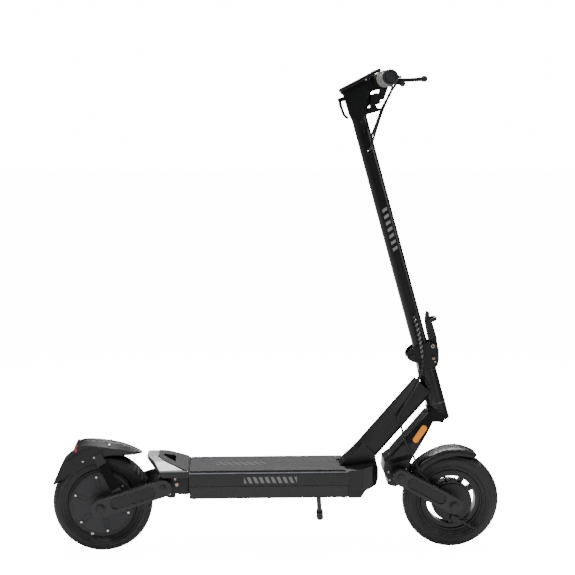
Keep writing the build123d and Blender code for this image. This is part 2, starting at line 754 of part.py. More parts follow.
GRIP_START = 140.0
with BuildPart() as grip:
    disc(BAR, 20.6, GRIP_START, GRIP_START + 9, plane=COLUMN_SIDE)
    disc(BAR, 16.5, GRIP_START + 9, BAR_HALF - 5, plane=COLUMN_SIDE)
    for ring in range(4):
        start = GRIP_START + 22 + 26 * ring
        for side in (0, 1):
            disc(BAR, 17.6, start + 9 * side, start + 9 * side + 4, plane=COLUMN_SIDE)
    disc(BAR, BAR_R, 100, 300, plane=COLUMN_SIDE, mode=Mode.SUBTRACT)
save(pair(grip.part), "grips")

with BuildPart() as bar_end:
    disc(BAR, 19.0, BAR_HALF - 5, BAR_HALF, plane=COLUMN_SIDE)
    fillet(bar_end.faces().sort_by(Axis.Y)[0].edges(), 2)
    disc(BAR, BAR_R - 2.5, BAR_HALF - 20, BAR_HALF - 5, plane=COLUMN_SIDE)
save(pair(bar_end.part), "bar_ends")

# ---------------------------------------------------------------- brake levers
BAR_WORLD = on_column(*BAR)
LEVER_PIVOT = Vector(BAR_WORLD.X + 33, -112, BAR_WORLD.Z - 3)
LEVER_Z = LEVER_PIVOT.Z
FLAT = Plane.XY.offset(LEVER_Z)
with BuildPart() as lever_mount:
    disc(BAR, 16.0, 100, 122, plane=COLUMN_SIDE)
    with BuildSketch(FLAT.offset(-11)):
        with BuildLine():
            Polyline(
                (BAR_WORLD.X + 8, -122),
                (LEVER_PIVOT.X + 4, -121),
                (LEVER_PIVOT.X + 11, -112),
                (LEVER_PIVOT.X + 11, -100.5),
                (BAR_WORLD.X + 8, -100.5),
                close=True,
            )
        make_face()
    extrude(amount=22)
    block((LEVER_PIVOT.X - 11, -130, LEVER_Z - 5.3), (LEVER_PIVOT.X + 30, -100, LEVER_Z + 5.3),
          mode=Mode.SUBTRACT)
    with BuildSketch(FLAT.offset(-11)):
        with Locations((LEVER_PIVOT.X, LEVER_PIVOT.Y)):
            Circle(3.0)
    extrude(amount=22)
    disc(BAR, BAR_R, 60, 300, plane=COLUMN_SIDE, mode=Mode.SUBTRACT)
save(pair(lever_mount.part), "lever_mounts")

LEVER_TIP = Vector(794, -232, LEVER_Z)
with BuildPart() as brake_lever_right:
    with BuildSketch(FLAT.offset(-4.5)):
        with BuildLine():
            Polyline(
                (LEVER_PIVOT.X - 6, -108),
                (LEVER_PIVOT.X + 6, -103),
                (LEVER_PIVOT.X + 16, -107),
                (772, -128),
                (788, -156),
                (798, -196),
                (801, -230),
                (791, -232),
                (787, -200),
                (778, -163),
                (764, -138),
                (LEVER_PIVOT.X + 2, -121),
                (LEVER_PIVOT.X - 5, -119),
                close=True,
            )
        make_face()
    extrude(amount=9)
    with Locations(Location((LEVER_TIP.X + 1.5, LEVER_TIP.Y, LEVER_Z))):
        Sphere(8)
    with BuildSketch(FLAT.offset(-10)):
        with Locations((LEVER_PIVOT.X, LEVER_PIVOT.Y)):
            Circle(3.0 + RUN)
    extrude(amount=20, mode=Mode.SUBTRACT)
save(brake_lever_right.part, "brake_lever_right")
save(mirrored(brake_lever_right.part), "brake_lever_left")

# ---------------------------------------------------------------- thumb throttle and switch pod
with BuildPart() as throttle_housing:
    disc(BAR, 19.0, 64, 80, plane=COLUMN_SIDE)
    disc(BAR, 15.0, 80, 92, plane=COLUMN_SIDE)
    disc(BAR, BAR_R, 40, 120, plane=COLUMN_SIDE, mode=Mode.SUBTRACT)
save(throttle_housing.part, "throttle_housing")

with BuildPart() as throttle_paddle:
    disc(BAR, 20.5, 80 + SLIP, 90, plane=COLUMN_SIDE)
    prism([(BAR_X - 24, BAR_HEIGHT - 46), (BAR_X - 10, BAR_HEIGHT - 48), (BAR_X + 12, BAR_HEIGHT - 16),
           (BAR_X - 12, BAR_HEIGHT - 14)], 80 + SLIP, 90, plane=COLUMN_SIDE)
    disc(BAR, 15.0 + RUN, 40, 120, plane=COLUMN_SIDE, mode=Mode.SUBTRACT)
save(throttle_paddle.part, "throttle_paddle")

POD_BUTTON = on_column(BAR_X - 22, BAR_HEIGHT + 4, 88)
POD_FACE = Plane(origin=POD_BUTTON, x_dir=(0, 1, 0), z_dir=-COLUMN.x_dir)
with BuildPart() as control_pod:
    disc(BAR, 16.5, -98, -72, plane=COLUMN_SIDE)
    prism([(BAR_X - 22, BAR_HEIGHT - 10), (BAR_X, BAR_HEIGHT - 16), (BAR_X, BAR_HEIGHT + 16),
           (BAR_X - 22, BAR_HEIGHT + 18)], -98, -72, plane=COLUMN_SIDE)
    disc(BAR, BAR_R, -120, -40, plane=COLUMN_SIDE, mode=Mode.SUBTRACT)
    for lift in (-7, 7):
        with BuildSketch(POD_FACE.offset(-4)):
            with Locations((-3, lift)):
                Circle(4.0)
        extrude(amount=10, mode=Mode.SUBTRACT)
save(control_pod.part, "control_pod")

for lift, label in ((-7, "horn_button"), (7, "lamp_button")):
    with BuildPart() as pod_button:
        with BuildSketch(POD_FACE.offset(-4 + BUTTON_TRAVEL + 0.1)):
            with Locations((-3, lift)):
                Circle(3.95)
        extrude(amount=4.4)
        fillet(pod_button.edges(), 0.4)
    save(pod_button.part, label)

# ---------------------------------------------------------------- headlight
with BuildPart() as lamp_housing:
    prism([(43, 1196), (59, 1198.5), (58.5, 1168.7), (33, 1172)], -23, 23, plane=COLUMN_SIDE, soften=3)
    prism([(STEM_DEPTH / 2, STEM_TOP + 2), (56, STEM_TOP + 2), (58, 1158), (50, 1161), (48, 1171), (36, 1173),
           (34, 1166), (STEM_DEPTH / 2, 1170)], -14, 14, plane=COLUMN_SIDE)
    disc((50.5, 1184), 8.5, -18, 18, plane=COLUMN_SIDE, mode=Mode.SUBTRACT)
save(lamp_housing.part, "lamp_housing")

with BuildPart() as lamp_lens:
    lamp_front = Plane(origin=on_column(58.75, 1183.6), x_dir=(0, 1, 0), z_dir=COLUMN.x_dir)
    with BuildSketch(lamp_front.offset(0.25)):
        RectangleRounded(40, 25, 5)
    extrude(amount=2.5)
    fillet(lamp_lens.faces().sort_by(Axis.X)[-1].edges(), 1.2)
save(lamp_lens.part, "lamp_lens")

with BuildPart() as hook:
    disc((-35, 1205), 5.0, -3, 3, plane=COLUMN_SIDE)
    prism([(-40, 1205), (-38, 1168), (-33, 1156), (-26, 1153), (-25, 1158), (-30, 1161), (-33, 1170), (-33, 1200),
           (-30.4, 1205)], -3, 3, plane=COLUMN_SIDE)
    disc((-35, 1205), 2.0 + RUN, -9, 9, plane=COLUMN_SIDE, mode=Mode.SUBTRACT)
save(hook.part, "hook")

# ================================================================ front arm
def swing_arms(pivot, axle, half, shaft_r, block_half, recess):
    """Two arms and the pivot shaft that joins them, as one welded piece."""
    with BuildPart() as arms:
        for side in (-1, 1):
            with BuildSketch(SIDE.offset(side * ARM_INNER)) as outline:
                arm_outline(pivot, axle, half - 1.5, half)
            extrude(outline.sketch, amount=side * ARM_THICK)
            with BuildSketch(SIDE.offset(side * (ARM_INNER + ARM_THICK))) as outline:
                arm_outline(
                    (pivot[0] * 0.78 + axle[0] * 0.22, pivot[1] * 0.78 + axle[1] * 0.22),
                    (pivot[0] * 0.25 + axle[0] * 0.75, pivot[1] * 0.25 + axle[1] * 0.75),
                    half - 9,
                    half - 9,
                )
            extrude(outline.sketch, amount=-side * recess, mode=Mode.SUBTRACT)
            disc(pivot, half - 5, side * (block_half + SLIP), side * ARM_INNER)
            disc(axle, AXLE_R, side * 60, side * 100, mode=Mode.SUBTRACT)
            disc(pivot, 9.0, side * (ARM_INNER + ARM_THICK), side * (ARM_INNER + ARM_THICK + 4))
        disc(pivot, shaft_r, -ARM_INNER, ARM_INNER)
    return arms.part


FORK_LOW_HALF = 44.0
BRACKET_HALF = 58.0
front_arms = swing_arms(FRONT_PIVOT, FRONT_AXLE, FRONT_ARM_HALF, PIVOT_R + 2, FORK_LOW_HALF, 3.0)
save(front_arms, "front_arms")
rear_arms = swing_arms(REAR_PIVOT, REAR_AXLE, REAR_ARM_HALF, PIVOT_R, BRACKET_HALF, 3.0)
save(rear_arms, "rear_arms")


def axle_with_nuts(centre, inner):
    """A straight axle with a nut outside each arm and a spacer inside it."""
    outer = ARM_INNER + ARM_THICK
    with BuildPart() as axle:
        disc(centre, AXLE_R, -outer - 10, outer + 10)
        for side in (-1, 1):
            disc(centre, 13.0, side * outer, side * (outer + 2))
            with BuildSketch(SIDE.offset(side * (outer + 2))) as nut:
                with Locations(centre):
                    RegularPolygon(10.0, 6)
            extrude(nut.sketch, amount=side * 7)
            disc(centre, 10.0, side * inner, side * ARM_INNER)
    return axle.part


FRONT_HUB_HALF = 36.0
MOTOR_HALF = 45.0
save(axle_with_nuts(FRONT_AXLE, FRONT_HUB_HALF + 8), "front_axle")
save(axle_with_nuts(REAR_AXLE, MOTOR_HALF + 8), "rear_axle")


def channel(outer, inner, half, wall):
    """A fender channel: the outline in side view with the room for the tyre taken out."""
    with BuildPart() as shell:
        prism(outer, -half, half)
        prism(inner, wall - half, half - wall, mode=Mode.SUBTRACT)
    return shell.part


FENDER_WALL = 2.5
FENDER_HALF = REAR_TYRE_W / 2 + 5.5
front_top = [(800, 206), (808, 217), (821, 228), (837, 238), (873, 256), (906, 261), (943, 256), (964, 245)]
front_under = [(952, 240), (925, 244), (901, 243), (865, 234), (833, 216), (811, 195)]
front_inner = [(798, 202), (811, 216), (838, 235), (874, 253), (906, 258), (943, 253), (970, 239), (952, 190),
               (800, 180)]
with BuildPart() as front_fender:
    add(channel(front_top + front_under, front_inner, FENDER_HALF, FENDER_WALL))
    # stays down to the arms
    for side in (-1, 1):
        prism([(806, 214), (824, 214), (822, 180), (822, 172), (808, 172), (806, 180)],
              side * (FENDER_HALF - FENDER_WALL), side * (FENDER_HALF + 1))
        prism([(808, 172), (822, 172), (822, 182), (808, 182)],
              side * (FENDER_HALF - FENDER_WALL), side * ARM_INNER)
save(front_fender.part, "front_fender")

DRUM_R = 49.0
with BuildPart() as brake_plate:
    disc(FRONT_AXLE, DRUM_R - 2, FRONT_HUB_HALF, FRONT_HUB_HALF + 5)
    disc(FRONT_AXLE, 20, FRONT_HUB_HALF + 5, FRONT_HUB_HALF + 8)
    disc(FRONT_AXLE, AXLE_R, 0, 80, mode=Mode.SUBTRACT)
    # boss of the brake cam and the cable stop
    BRAKE_CAM = (FRONT_AXLE[0] - 24, FRONT_AXLE[1] + 22)
    disc(BRAKE_CAM, 8.0, FRONT_HUB_HALF + 5, FRONT_HUB_HALF + 9)
    disc(BRAKE_CAM, 3.0, FRONT_HUB_HALF + 5, FRONT_HUB_HALF + 18)
save(brake_plate.part, "brake_plate")

BRAKE_ARM_NEAR = FRONT_HUB_HALF + 9 + SLIP
with BuildPart() as brake_arm:
    with BuildSketch(SIDE.offset(BRAKE_ARM_NEAR)):
        arm_outline(BRAKE_CAM, (BRAKE_CAM[0] - 34, BRAKE_CAM[1] + 8), 7.5, 5.0)
    extrude(amount=5)
    disc(BRAKE_CAM, 3.0 + RUN, 0, 90, mode=Mode.SUBTRACT)
    disc((BRAKE_CAM[0] - 34, BRAKE_CAM[1] + 8), 2.0, 0, 90, mode=Mode.SUBTRACT)
save(brake_arm.part, "brake_arm")

# ================================================================ wheels
RIM_DEPTH = 16.0
RIM_HALF = 25.0
with BuildPart() as front_rim:
    with BuildSketch(SIDE.offset(-RIM_HALF)):
        with Locations(FRONT_AXLE):
            Circle(FRONT_BEAD_R - BEAD_GAP)
            Circle(FRONT_BEAD_R - RIM_DEPTH, mode=Mode.SUBTRACT)
    extrude(amount=2 * RIM_HALF)
    for side in (-1, 1):
        disc(FRONT_AXLE, FRONT_BEAD_R - 4, side * RIM_HALF, side * (RIM_HALF - 6), mode=Mode.SUBTRACT)
    disc(FRONT_AXLE, DRUM_R, -30, FRONT_HUB_HALF - 1)
    disc(FRONT_AXLE, DRUM_R + 3, 12, FRONT_HUB_HALF - 1)
    # three pairs of spokes
    for middle in (45, 165, 285):
        for swing in (-16, 16):
            angle = radians(middle + swing)
            with BuildSketch(SIDE.offset(-15)):
                with Locations(Location(
                    (FRONT_AXLE[0] + 56 * cos(angle), FRONT_AXLE[1] + 56 * sin(angle), 0),
                    (0, 0, degrees(angle)),
                )):
                    Rectangle(22, 9)
            extrude(amount=30)
    disc(FRONT_AXLE, DRUM_R - 8, 14, FRONT_HUB_HALF, mode=Mode.SUBTRACT)
    disc(FRONT_AXLE, 16, -FRONT_HUB_HALF, -30)
    disc(FRONT_AXLE, 14, 13, FRONT_HUB_HALF - 0.5)
    disc(FRONT_AXLE, AXLE_R + RUN, -60, 60, mode=Mode.SUBTRACT)
save(front_rim.part, "front_rim")


def tyre(axle, outer, bead, width, bead_width):
    """A pneumatic tyre with a level crown, turned about its axle."""
    half = width / 2
    crown = TREAD_FLAT / 2
    inside = bead + 5
    with BuildPart() as body:
        with BuildSketch(Plane(origin=(axle[0], 0, axle[1]), x_dir=(0, 1, 0), z_dir=(1, 0, 0))) as section:
            with BuildLine():
                Polyline((-bead_width / 2, bead), (bead_width / 2, bead), (bead_width / 2 + 1, bead + 6))
                Spline(
                    (bead_width / 2 + 1, bead + 6),
                    (half, (bead + outer) / 2 + 1),
                    (crown, outer),
                    tangents=((0.5, 1), (-1, 0)),
                )
                Line((crown, outer), (-crown, outer))
                Spline(
                    (-crown, outer),
                    (-half, (bead + outer) / 2 + 1),
                    (-bead_width / 2 - 1, bead + 6),
                    tangents=((-1, 0), (0.5, -1)),
                )
                Line((-bead_width / 2 - 1, bead + 6), (-bead_width / 2, bead))
            make_face()
            with Locations((0, (inside + outer) / 2 - 1)):
                Ellipse(half - 8, (outer - inside) / 2 - 7, mode=Mode.SUBTRACT)
        revolve(section.sketch, axis=Axis((axle[0], 0, axle[1]), (0, 1, 0)))
    return body.part


save(tyre(FRONT_AXLE, FRONT_TYRE_R, FRONT_BEAD_R, FRONT_TYRE_W, 2 * RIM_HALF - 2), "front_tyre")

SHELL_HALF = 30.0
SCREW_CIRCLE = 71.0
MOTOR_R = REAR_BEAD_R - BEAD_GAP
with BuildPart() as motor_shell:
    disc(REAR_AXLE, MOTOR_R, -SHELL_HALF, SHELL_HALF)
    disc(REAR_AXLE, MOTOR_R - 9, -SHELL_HALF, SHELL_HALF, mode=Mode.SUBTRACT)
    disc(REAR_AXLE, MOTOR_R - 9, -SHELL_HALF + 8, SHELL_HALF - 8)
    disc(REAR_AXLE, AXLE_R + 12, -SHELL_HALF, SHELL_HALF, mode=Mode.SUBTRACT)
save(motor_shell.part, "motor_shell")

COVER_OUT = SHELL_HALF + 7.0  # outer face of the motor covers
with BuildPart() as motor_cover:
    disc(REAR_AXLE, MOTOR_R - 4, SHELL_HALF, COVER_OUT)
    rim_edge = motor_cover.edges().filter_by(GeomType.CIRCLE).sort_by(Axis.Y)[0]
    fillet(rim_edge, 4.5)
    disc(REAR_AXLE, MOTOR_R - 9.2, SHELL_HALF - 8, SHELL_HALF)
    disc(REAR_AXLE, 30, COVER_OUT, COVER_OUT + 4)
    disc(REAR_AXLE, 20, COVER_OUT + 4, MOTOR_HALF + 5)
    disc(REAR_AXLE, AXLE_R + RUN, 0, 80, mode=Mode.SUBTRACT)
    with BuildSketch(SIDE.offset(SHELL_HALF - 8)):
        with Locations(REAR_AXLE):
            with PolarLocations(SCREW_CIRCLE, 6, start_angle=41):
                Circle(1.6)
    extrude(amount=30, mode=Mode.SUBTRACT)
save(pair(motor_cover.part), "motor_covers")

screw_face = Plane(origin=(0, -COVER_OUT, 0), x_dir=(1, 0, 0), z_dir=(0, -1, 0))
motor_screw = screw(screw_face, 1.6, 12, 4.5, 2.2)
motor_screws = [
    motor_screw.moved(Location((REAR_AXLE[0] + SCREW_CIRCLE * cos(a), 0, REAR_AXLE[1] + SCREW_CIRCLE * sin(a))))
    for a in (radians(41 + 60 * n) for n in range(6))
]
motor_screws = Compound([s for m in motor_screws for s in m.solids()])
save(pair(motor_screws), "motor_screws")

save(tyre(REAR_AXLE, REAR_TYRE_R, REAR_BEAD_R, REAR_TYRE_W, 2 * SHELL_HALF - 6), "rear_tyre")

# ================================================================ rear fender
# stations along the fender: x, half width, height of the crown and of the shoulder
FENDER_STATIONS = [
    (-62, FENDER_HALF, 285.0, 277.0),
    (-45, FENDER_HALF, 289.5, 279.5),
    (-15, FENDER_HALF, 290.0, 278.0),
    (20, FENDER_HALF, 286.0, 273.0),
    (50, FENDER_HALF - 3, 279.5, 268.0),
    (76, FENDER_HALF - 11, 270.0, 262.0),
    (95, FENDER_HALF - 23, 261.0, 257.5),
    (103, FENDER_HALF - 34, 256.5, 255.5),
]


def hood(stations, wall, low):
    """A crowned hood through the stations, `wall` inside them and open down to `low`."""
    with BuildPart() as body:
        sections = []
        for x, half, crown, shoulder in stations:
            half, crown, shoulder = half - wall, crown - wall, shoulder - wall
            haunch = shoulder + 0.78 * (crown - shoulder)
            plane = Plane(origin=(x, 0, 0), x_dir=(0, 1, 0), z_dir=(1, 0, 0))
            with BuildSketch(plane) as section:
                with BuildLine():
                    Polyline((-half, low), (-half, shoulder), (-0.5 * half, haunch), (0.5 * half, haunch),
                             (half, shoulder), (half, low), close=True)
                make_face()
            sections.append(section.sketch)
        loft(sections)
    return body.part


rear_under = [(110, 253), (83, 252.5), (50, 254.5), (20, 254.5), (-4, 250), (-14, 246), (-34, 251), (-60, 262),
              (-62, 262), (-80, 262), (-80, 180), (110, 180)]
with BuildPart() as rear_fender:
    add(hood(FENDER_STATIONS, 0.0, 200.0))
    add(hood([(-70, *FENDER_STATIONS[0][1:]), *FENDER_STATIONS[1:-1]], FENDER_WALL, 190.0), mode=Mode.SUBTRACT)
    prism(rear_under, -60, 60, mode=Mode.SUBTRACT)
    prism([(-62, 180), (110, 180), (110, 300), (-62, 300)], -FENDER_HALF, FENDER_HALF, mode=Mode.INTERSECT)
save(rear_fender.part, "rear_fender")

with BuildPart() as tail_light:
    prism([(-62, 284), (-62, 262), (-66, 262), (-70, 271), (-67, 280)], 1 - FENDER_HALF, FENDER_HALF - 1)
save(tail_light.part, "tail_light")

flap_outer = [(-60, 262), (-66, 262), (-88, 247), (-100, 236), (-124, 182), (-122, 177)]
flap_under = [(-105, 190), (-80, 207), (-44, 228), (-34, 251)]
flap_inner = [(-50, 262), (-64, 259), (-86, 244), (-97, 234), (-124, 172), (-100, 150), (0, 200), (0, 262)]
with BuildPart() as mudflap:
    add(channel(flap_outer + flap_under, flap_inner, FENDER_HALF, FENDER_WALL))
save(mudflap.part, "mudflap")

STRUT_FOOT = Vector(40, 0, 168)
STRUT_TOP = Vector(-8, 0, 250)
STRUT_WIDE = 25.0
strut_run = (STRUT_TOP - STRUT_FOOT).length
strut_plane = Plane(
    origin=STRUT_FOOT,
    x_dir=(0, 1, 0),
    z_dir=Vector(0, 1, 0).cross((STRUT_TOP - STRUT_FOOT).normalized()),
)
with BuildPart() as fender_struts:
    for side in (-1, 1):
        with BuildSketch(strut_plane.offset(-STRUT_WIDE / 2)):
            with BuildLine():
                strut_line = [
                    (ARM_INNER, -14),
                    (ARM_INNER, 6),
                    (FENDER_HALF + 4, strut_run - 22),
                    (FENDER_HALF + 4, strut_run + 8),
                    (FENDER_HALF, strut_run + 8),
                    (FENDER_HALF, strut_run - 24),
                    (ARM_INNER - 4, 4),
                    (ARM_INNER - 4, -14),
                ]
                Polyline(*[(side * y, h) for y, h in strut_line], close=True)
            make_face()
        extrude(amount=STRUT_WIDE)
save(fender_struts.part, "fender_struts")

# ================================================================ cables
CABLE_R = 3.0
WRAP_R = 4.2


def cable(points, radius, label):
    """A cable of round section; its bends open as far as the shorter run beside them allows."""
    ends = [Vector(*p) for p in points]
    last = len(ends) - 2
    radii = []
    for n, (before, here, after) in enumerate(zip(ends, ends[1:], ends[2:]), start=1):
        room_before = (here - before).length * (0.9 if n == 1 else 0.45)
        room_after = (after - here).length * (0.9 if n == last else 0.45)
        turn = radians((here - before).get_angle(after - here))
        radii.append(min(room_before, room_after) / tan(max(turn, 0.02) / 2))
    with BuildPart() as body:
        with BuildLine():
            path = FilletPolyline(*ends, radius=radii)
        with BuildSketch(Plane(origin=path @ 0, z_dir=path % 0)) as section:
            Circle(radius)
        sweep(section.sketch, path=path)
    length = path.length
    print(f"  {label}: least bend {min(radii):.0f}, volume ratio "
          f"{body.part.volume / (3.14159265 * radius ** 2 * length):.3f}")
    return body.part


# points where the cables are held
SLOT_POINT = on_column(CABLE_HOLE[0], CABLE_HOLE[1] + 1, -STEM_WIDTH / 2 + 5)
BASE_POINT = on_column(-6.0, 516, -CHEEK_OUT - 1.75 - WRAP_R)
CLIP_POINT = Vector(NECK_CLIP.X + 1, -NECK_HALF - 1.6 - WRAP_R, NECK_CLIP.Z)
FORK_POINT = Vector(795, -50.5 - CABLE_R, 252)
BASE_LEAD = on_column(-1.5, 548, -CHEEK_OUT - 2.0 - WRAP_R)
base_run = (BASE_POINT - BASE_LEAD).normalized()
FORK_LEAD = Vector(784, -54, 268)
fork_run = (FORK_POINT - FORK_LEAD).normalized()
CUT = 0.4  # space between the two halves of a cable that bends across a joint
fold_cable = cable(
    [
        SLOT_POINT,
        on_column(2.5, 612, -31),
        on_column(2.5, 585, -CHEEK_OUT - 1.6 - WRAP_R),
        BASE_LEAD,
        BASE_POINT,
    ],
    WRAP_R,
    "fold_cable",
)
save(fold_cable, "fold_cable")
wrapped = cable(
    [
        BASE_POINT + base_run * CUT,
        BASE_POINT + base_run * 14,
        on_column(-21, 482, -CHEEK_OUT - 2.6 - WRAP_R),
        Vector(803, -35, 424),
        Vector(781, -34, 388),
        Vector(767, -32.5, 362),
        CLIP_POINT,
    ],
    WRAP_R,
    "steer_cable",
)
brake_line = cable(
    [
        CLIP_POINT + Vector(3.2, 0, -6.5),
        Vector(769, -34, 318),
        Vector(772, -53, 296),
        FORK_LEAD,
        FORK_POINT,
    ],
    CABLE_R,
    "steer_cable",
)
save(Compound([*wrapped.solids(), *brake_line.solids()]), "steer_cable")

BRAKE_END = Vector(BRAKE_CAM[0] - 33, -BRAKE_ARM_NEAR - 2.5, BRAKE_CAM[1] + 16.5)
arm_cable = cable(
    [
        FORK_POINT + fork_run * CUT,
        FORK_POINT + fork_run * 12,
        Vector(806, -54, 222),
        Vector(810, -55, 206),
        Vector(828, -53, 191),
        Vector(840, -49, 173),
        BRAKE_END,
    ],
    CABLE_R,
    "arm_cable",
)
save(arm_cable, "arm_cable")

GROMMET = on_column(1.5, 1062, -STEM_WIDTH / 2)
upper = [
    cable(
        [
            Vector(LEVER_PIVOT.X + 4, SLIP - 100.5, LEVER_Z - 2),
            Vector(LEVER_PIVOT.X + 3, -76, LEVER_Z - 6),
            Vector(LEVER_PIVOT.X - 10, -54, LEVER_Z - 26),
            on_column(54, 1147, -38),
            on_column(28, 1107, -42),
            on_column(2.5, 1066, -46),
            on_column(1.5, 1062, -STEM_WIDTH / 2 + 4),
        ],
        CABLE_R,
        "upper_cables",
    ),
    cable(
        [
            Vector(LEVER_PIVOT.X + 4, 100.5 - SLIP, LEVER_Z - 2),
            Vector(LEVER_PIVOT.X + 7, 62, LEVER_Z - 8),
            Vector(LEVER_PIVOT.X - 1, 22, LEVER_Z - 28),
            on_column(66, 1160, 16),
            on_column(44, 1126, 32),
            on_column(3, 1069, 46),
            on_column(1.5, 1066, STEM_WIDTH / 2 - 4),
        ],
        CABLE_R,
        "upper_cables",
    ),
]
save(Compound([s for c in upper for s in c.solids()]), "upper_cables")
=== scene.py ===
"""Looks of the electric kick scooter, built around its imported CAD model.

Metres, +X forward, +Y to the rider's left, +Z up.
"""

import math

import bmesh
import bpy
from mathutils import Matrix, Vector


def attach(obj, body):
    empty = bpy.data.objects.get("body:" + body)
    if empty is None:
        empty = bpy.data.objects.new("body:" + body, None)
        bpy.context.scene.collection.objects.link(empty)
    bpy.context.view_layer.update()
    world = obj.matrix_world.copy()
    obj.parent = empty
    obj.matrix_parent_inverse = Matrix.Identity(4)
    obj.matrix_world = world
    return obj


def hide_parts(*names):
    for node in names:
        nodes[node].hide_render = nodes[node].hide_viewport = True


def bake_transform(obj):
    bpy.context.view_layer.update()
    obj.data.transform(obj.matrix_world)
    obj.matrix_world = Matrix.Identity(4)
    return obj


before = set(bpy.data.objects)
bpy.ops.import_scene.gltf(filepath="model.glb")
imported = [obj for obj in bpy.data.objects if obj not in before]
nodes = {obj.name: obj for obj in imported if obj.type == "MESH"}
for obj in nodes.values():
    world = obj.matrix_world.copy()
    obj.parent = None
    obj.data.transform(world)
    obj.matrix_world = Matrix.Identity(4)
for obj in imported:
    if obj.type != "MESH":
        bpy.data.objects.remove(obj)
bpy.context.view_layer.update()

# ---------------------------------------------------------------- the drawing's own axes
CENTRE_X = 447.75  # mm, from the rear axle to the row frame's origin
RAKE = math.radians(15.3)
COLUMN_FOOT = 963.0


def at(x, y, z):
    """A point given in mm from the rear axle's foot, in the row frame's metres."""
    return Vector(((x - CENTRE_X) / 1000, y / 1000, z / 1000))


def on_column(x, height, y=0.0):
    """A point given in the steering column's plane, in mm."""
    return at(
        COLUMN_FOOT + x * math.cos(RAKE) - height * math.sin(RAKE),
        y,
        x * math.sin(RAKE) + height * math.cos(RAKE),
    )


COLUMN_X = Vector((math.cos(RAKE), 0, math.sin(RAKE)))
FRONT_AXLE = at(899, 0, 124)
REAR_AXLE = at(0, 0, 127.5)


# ---------------------------------------------------------------- node graphs
class Wire:
    """A socket of a node graph, with arithmetic on it."""

    def __init__(self, graph, socket):
        self.graph = graph
        self.socket = socket

    def _math(self, op, *others, clamp=False):
        node = self.graph.nodes.new("ShaderNodeMath")
        node.operation = op
        node.use_clamp = clamp
        for i, value in enumerate((self, *others)):
            self.graph.put(node.inputs[i], value)
        return Wire(self.graph, node.outputs[0])

    def __add__(self, o):
        return self._math("ADD", o)

    def __sub__(self, o):
        return self._math("SUBTRACT", o)

    def __rsub__(self, o):
        return self._math("MULTIPLY", -1.0) + o

    def __mul__(self, o):
        return self._math("MULTIPLY", o)

    def __truediv__(self, o):
        return self._math("DIVIDE", o)

    def __mod__(self, o):
        return self._math("FLOORED_MODULO", o)

    def __lt__(self, o):
        return self._math("LESS_THAN", o)

    def __gt__(self, o):
        return self._math("GREATER_THAN", o)

    __radd__ = __add__
    __rmul__ = __mul__

    def abs(self):
        return self._math("ABSOLUTE")

    def sin(self):
        return self._math("SINE")

    def atan2(self, o):
        return self._math("ARCTAN2", o)

    def power(self, o):
        return self._math("POWER", o)

    def low(self, o):
        return self._math("MINIMUM", o)

    def high(self, o):
        return self._math("MAXIMUM", o)

    def hypot(self, o):
        return (self * self + o * o).power(0.5)

    def between(self, low, high):
        """Rises from 0 at low to 1 at high."""
        node = self.graph.nodes.new("ShaderNodeMapRange")
        node.interpolation_type = "SMOOTHSTEP"
        self.graph.put(node.inputs[0], self)
        self.graph.put(node.inputs[1], low)
        self.graph.put(node.inputs[2], high)
        return Wire(self.graph, node.outputs[0])

    def mix(self, a, b):
        """Blends two colours by this value."""
        node = self.graph.nodes.new("ShaderNodeMix")
        node.data_type = "RGBA"
        self.graph.put(node.inputs[0], self)
        self.graph.put(node.inputs[6], a)
        self.graph.put(node.inputs[7], b)
        return Wire(self.graph, node.outputs[2])


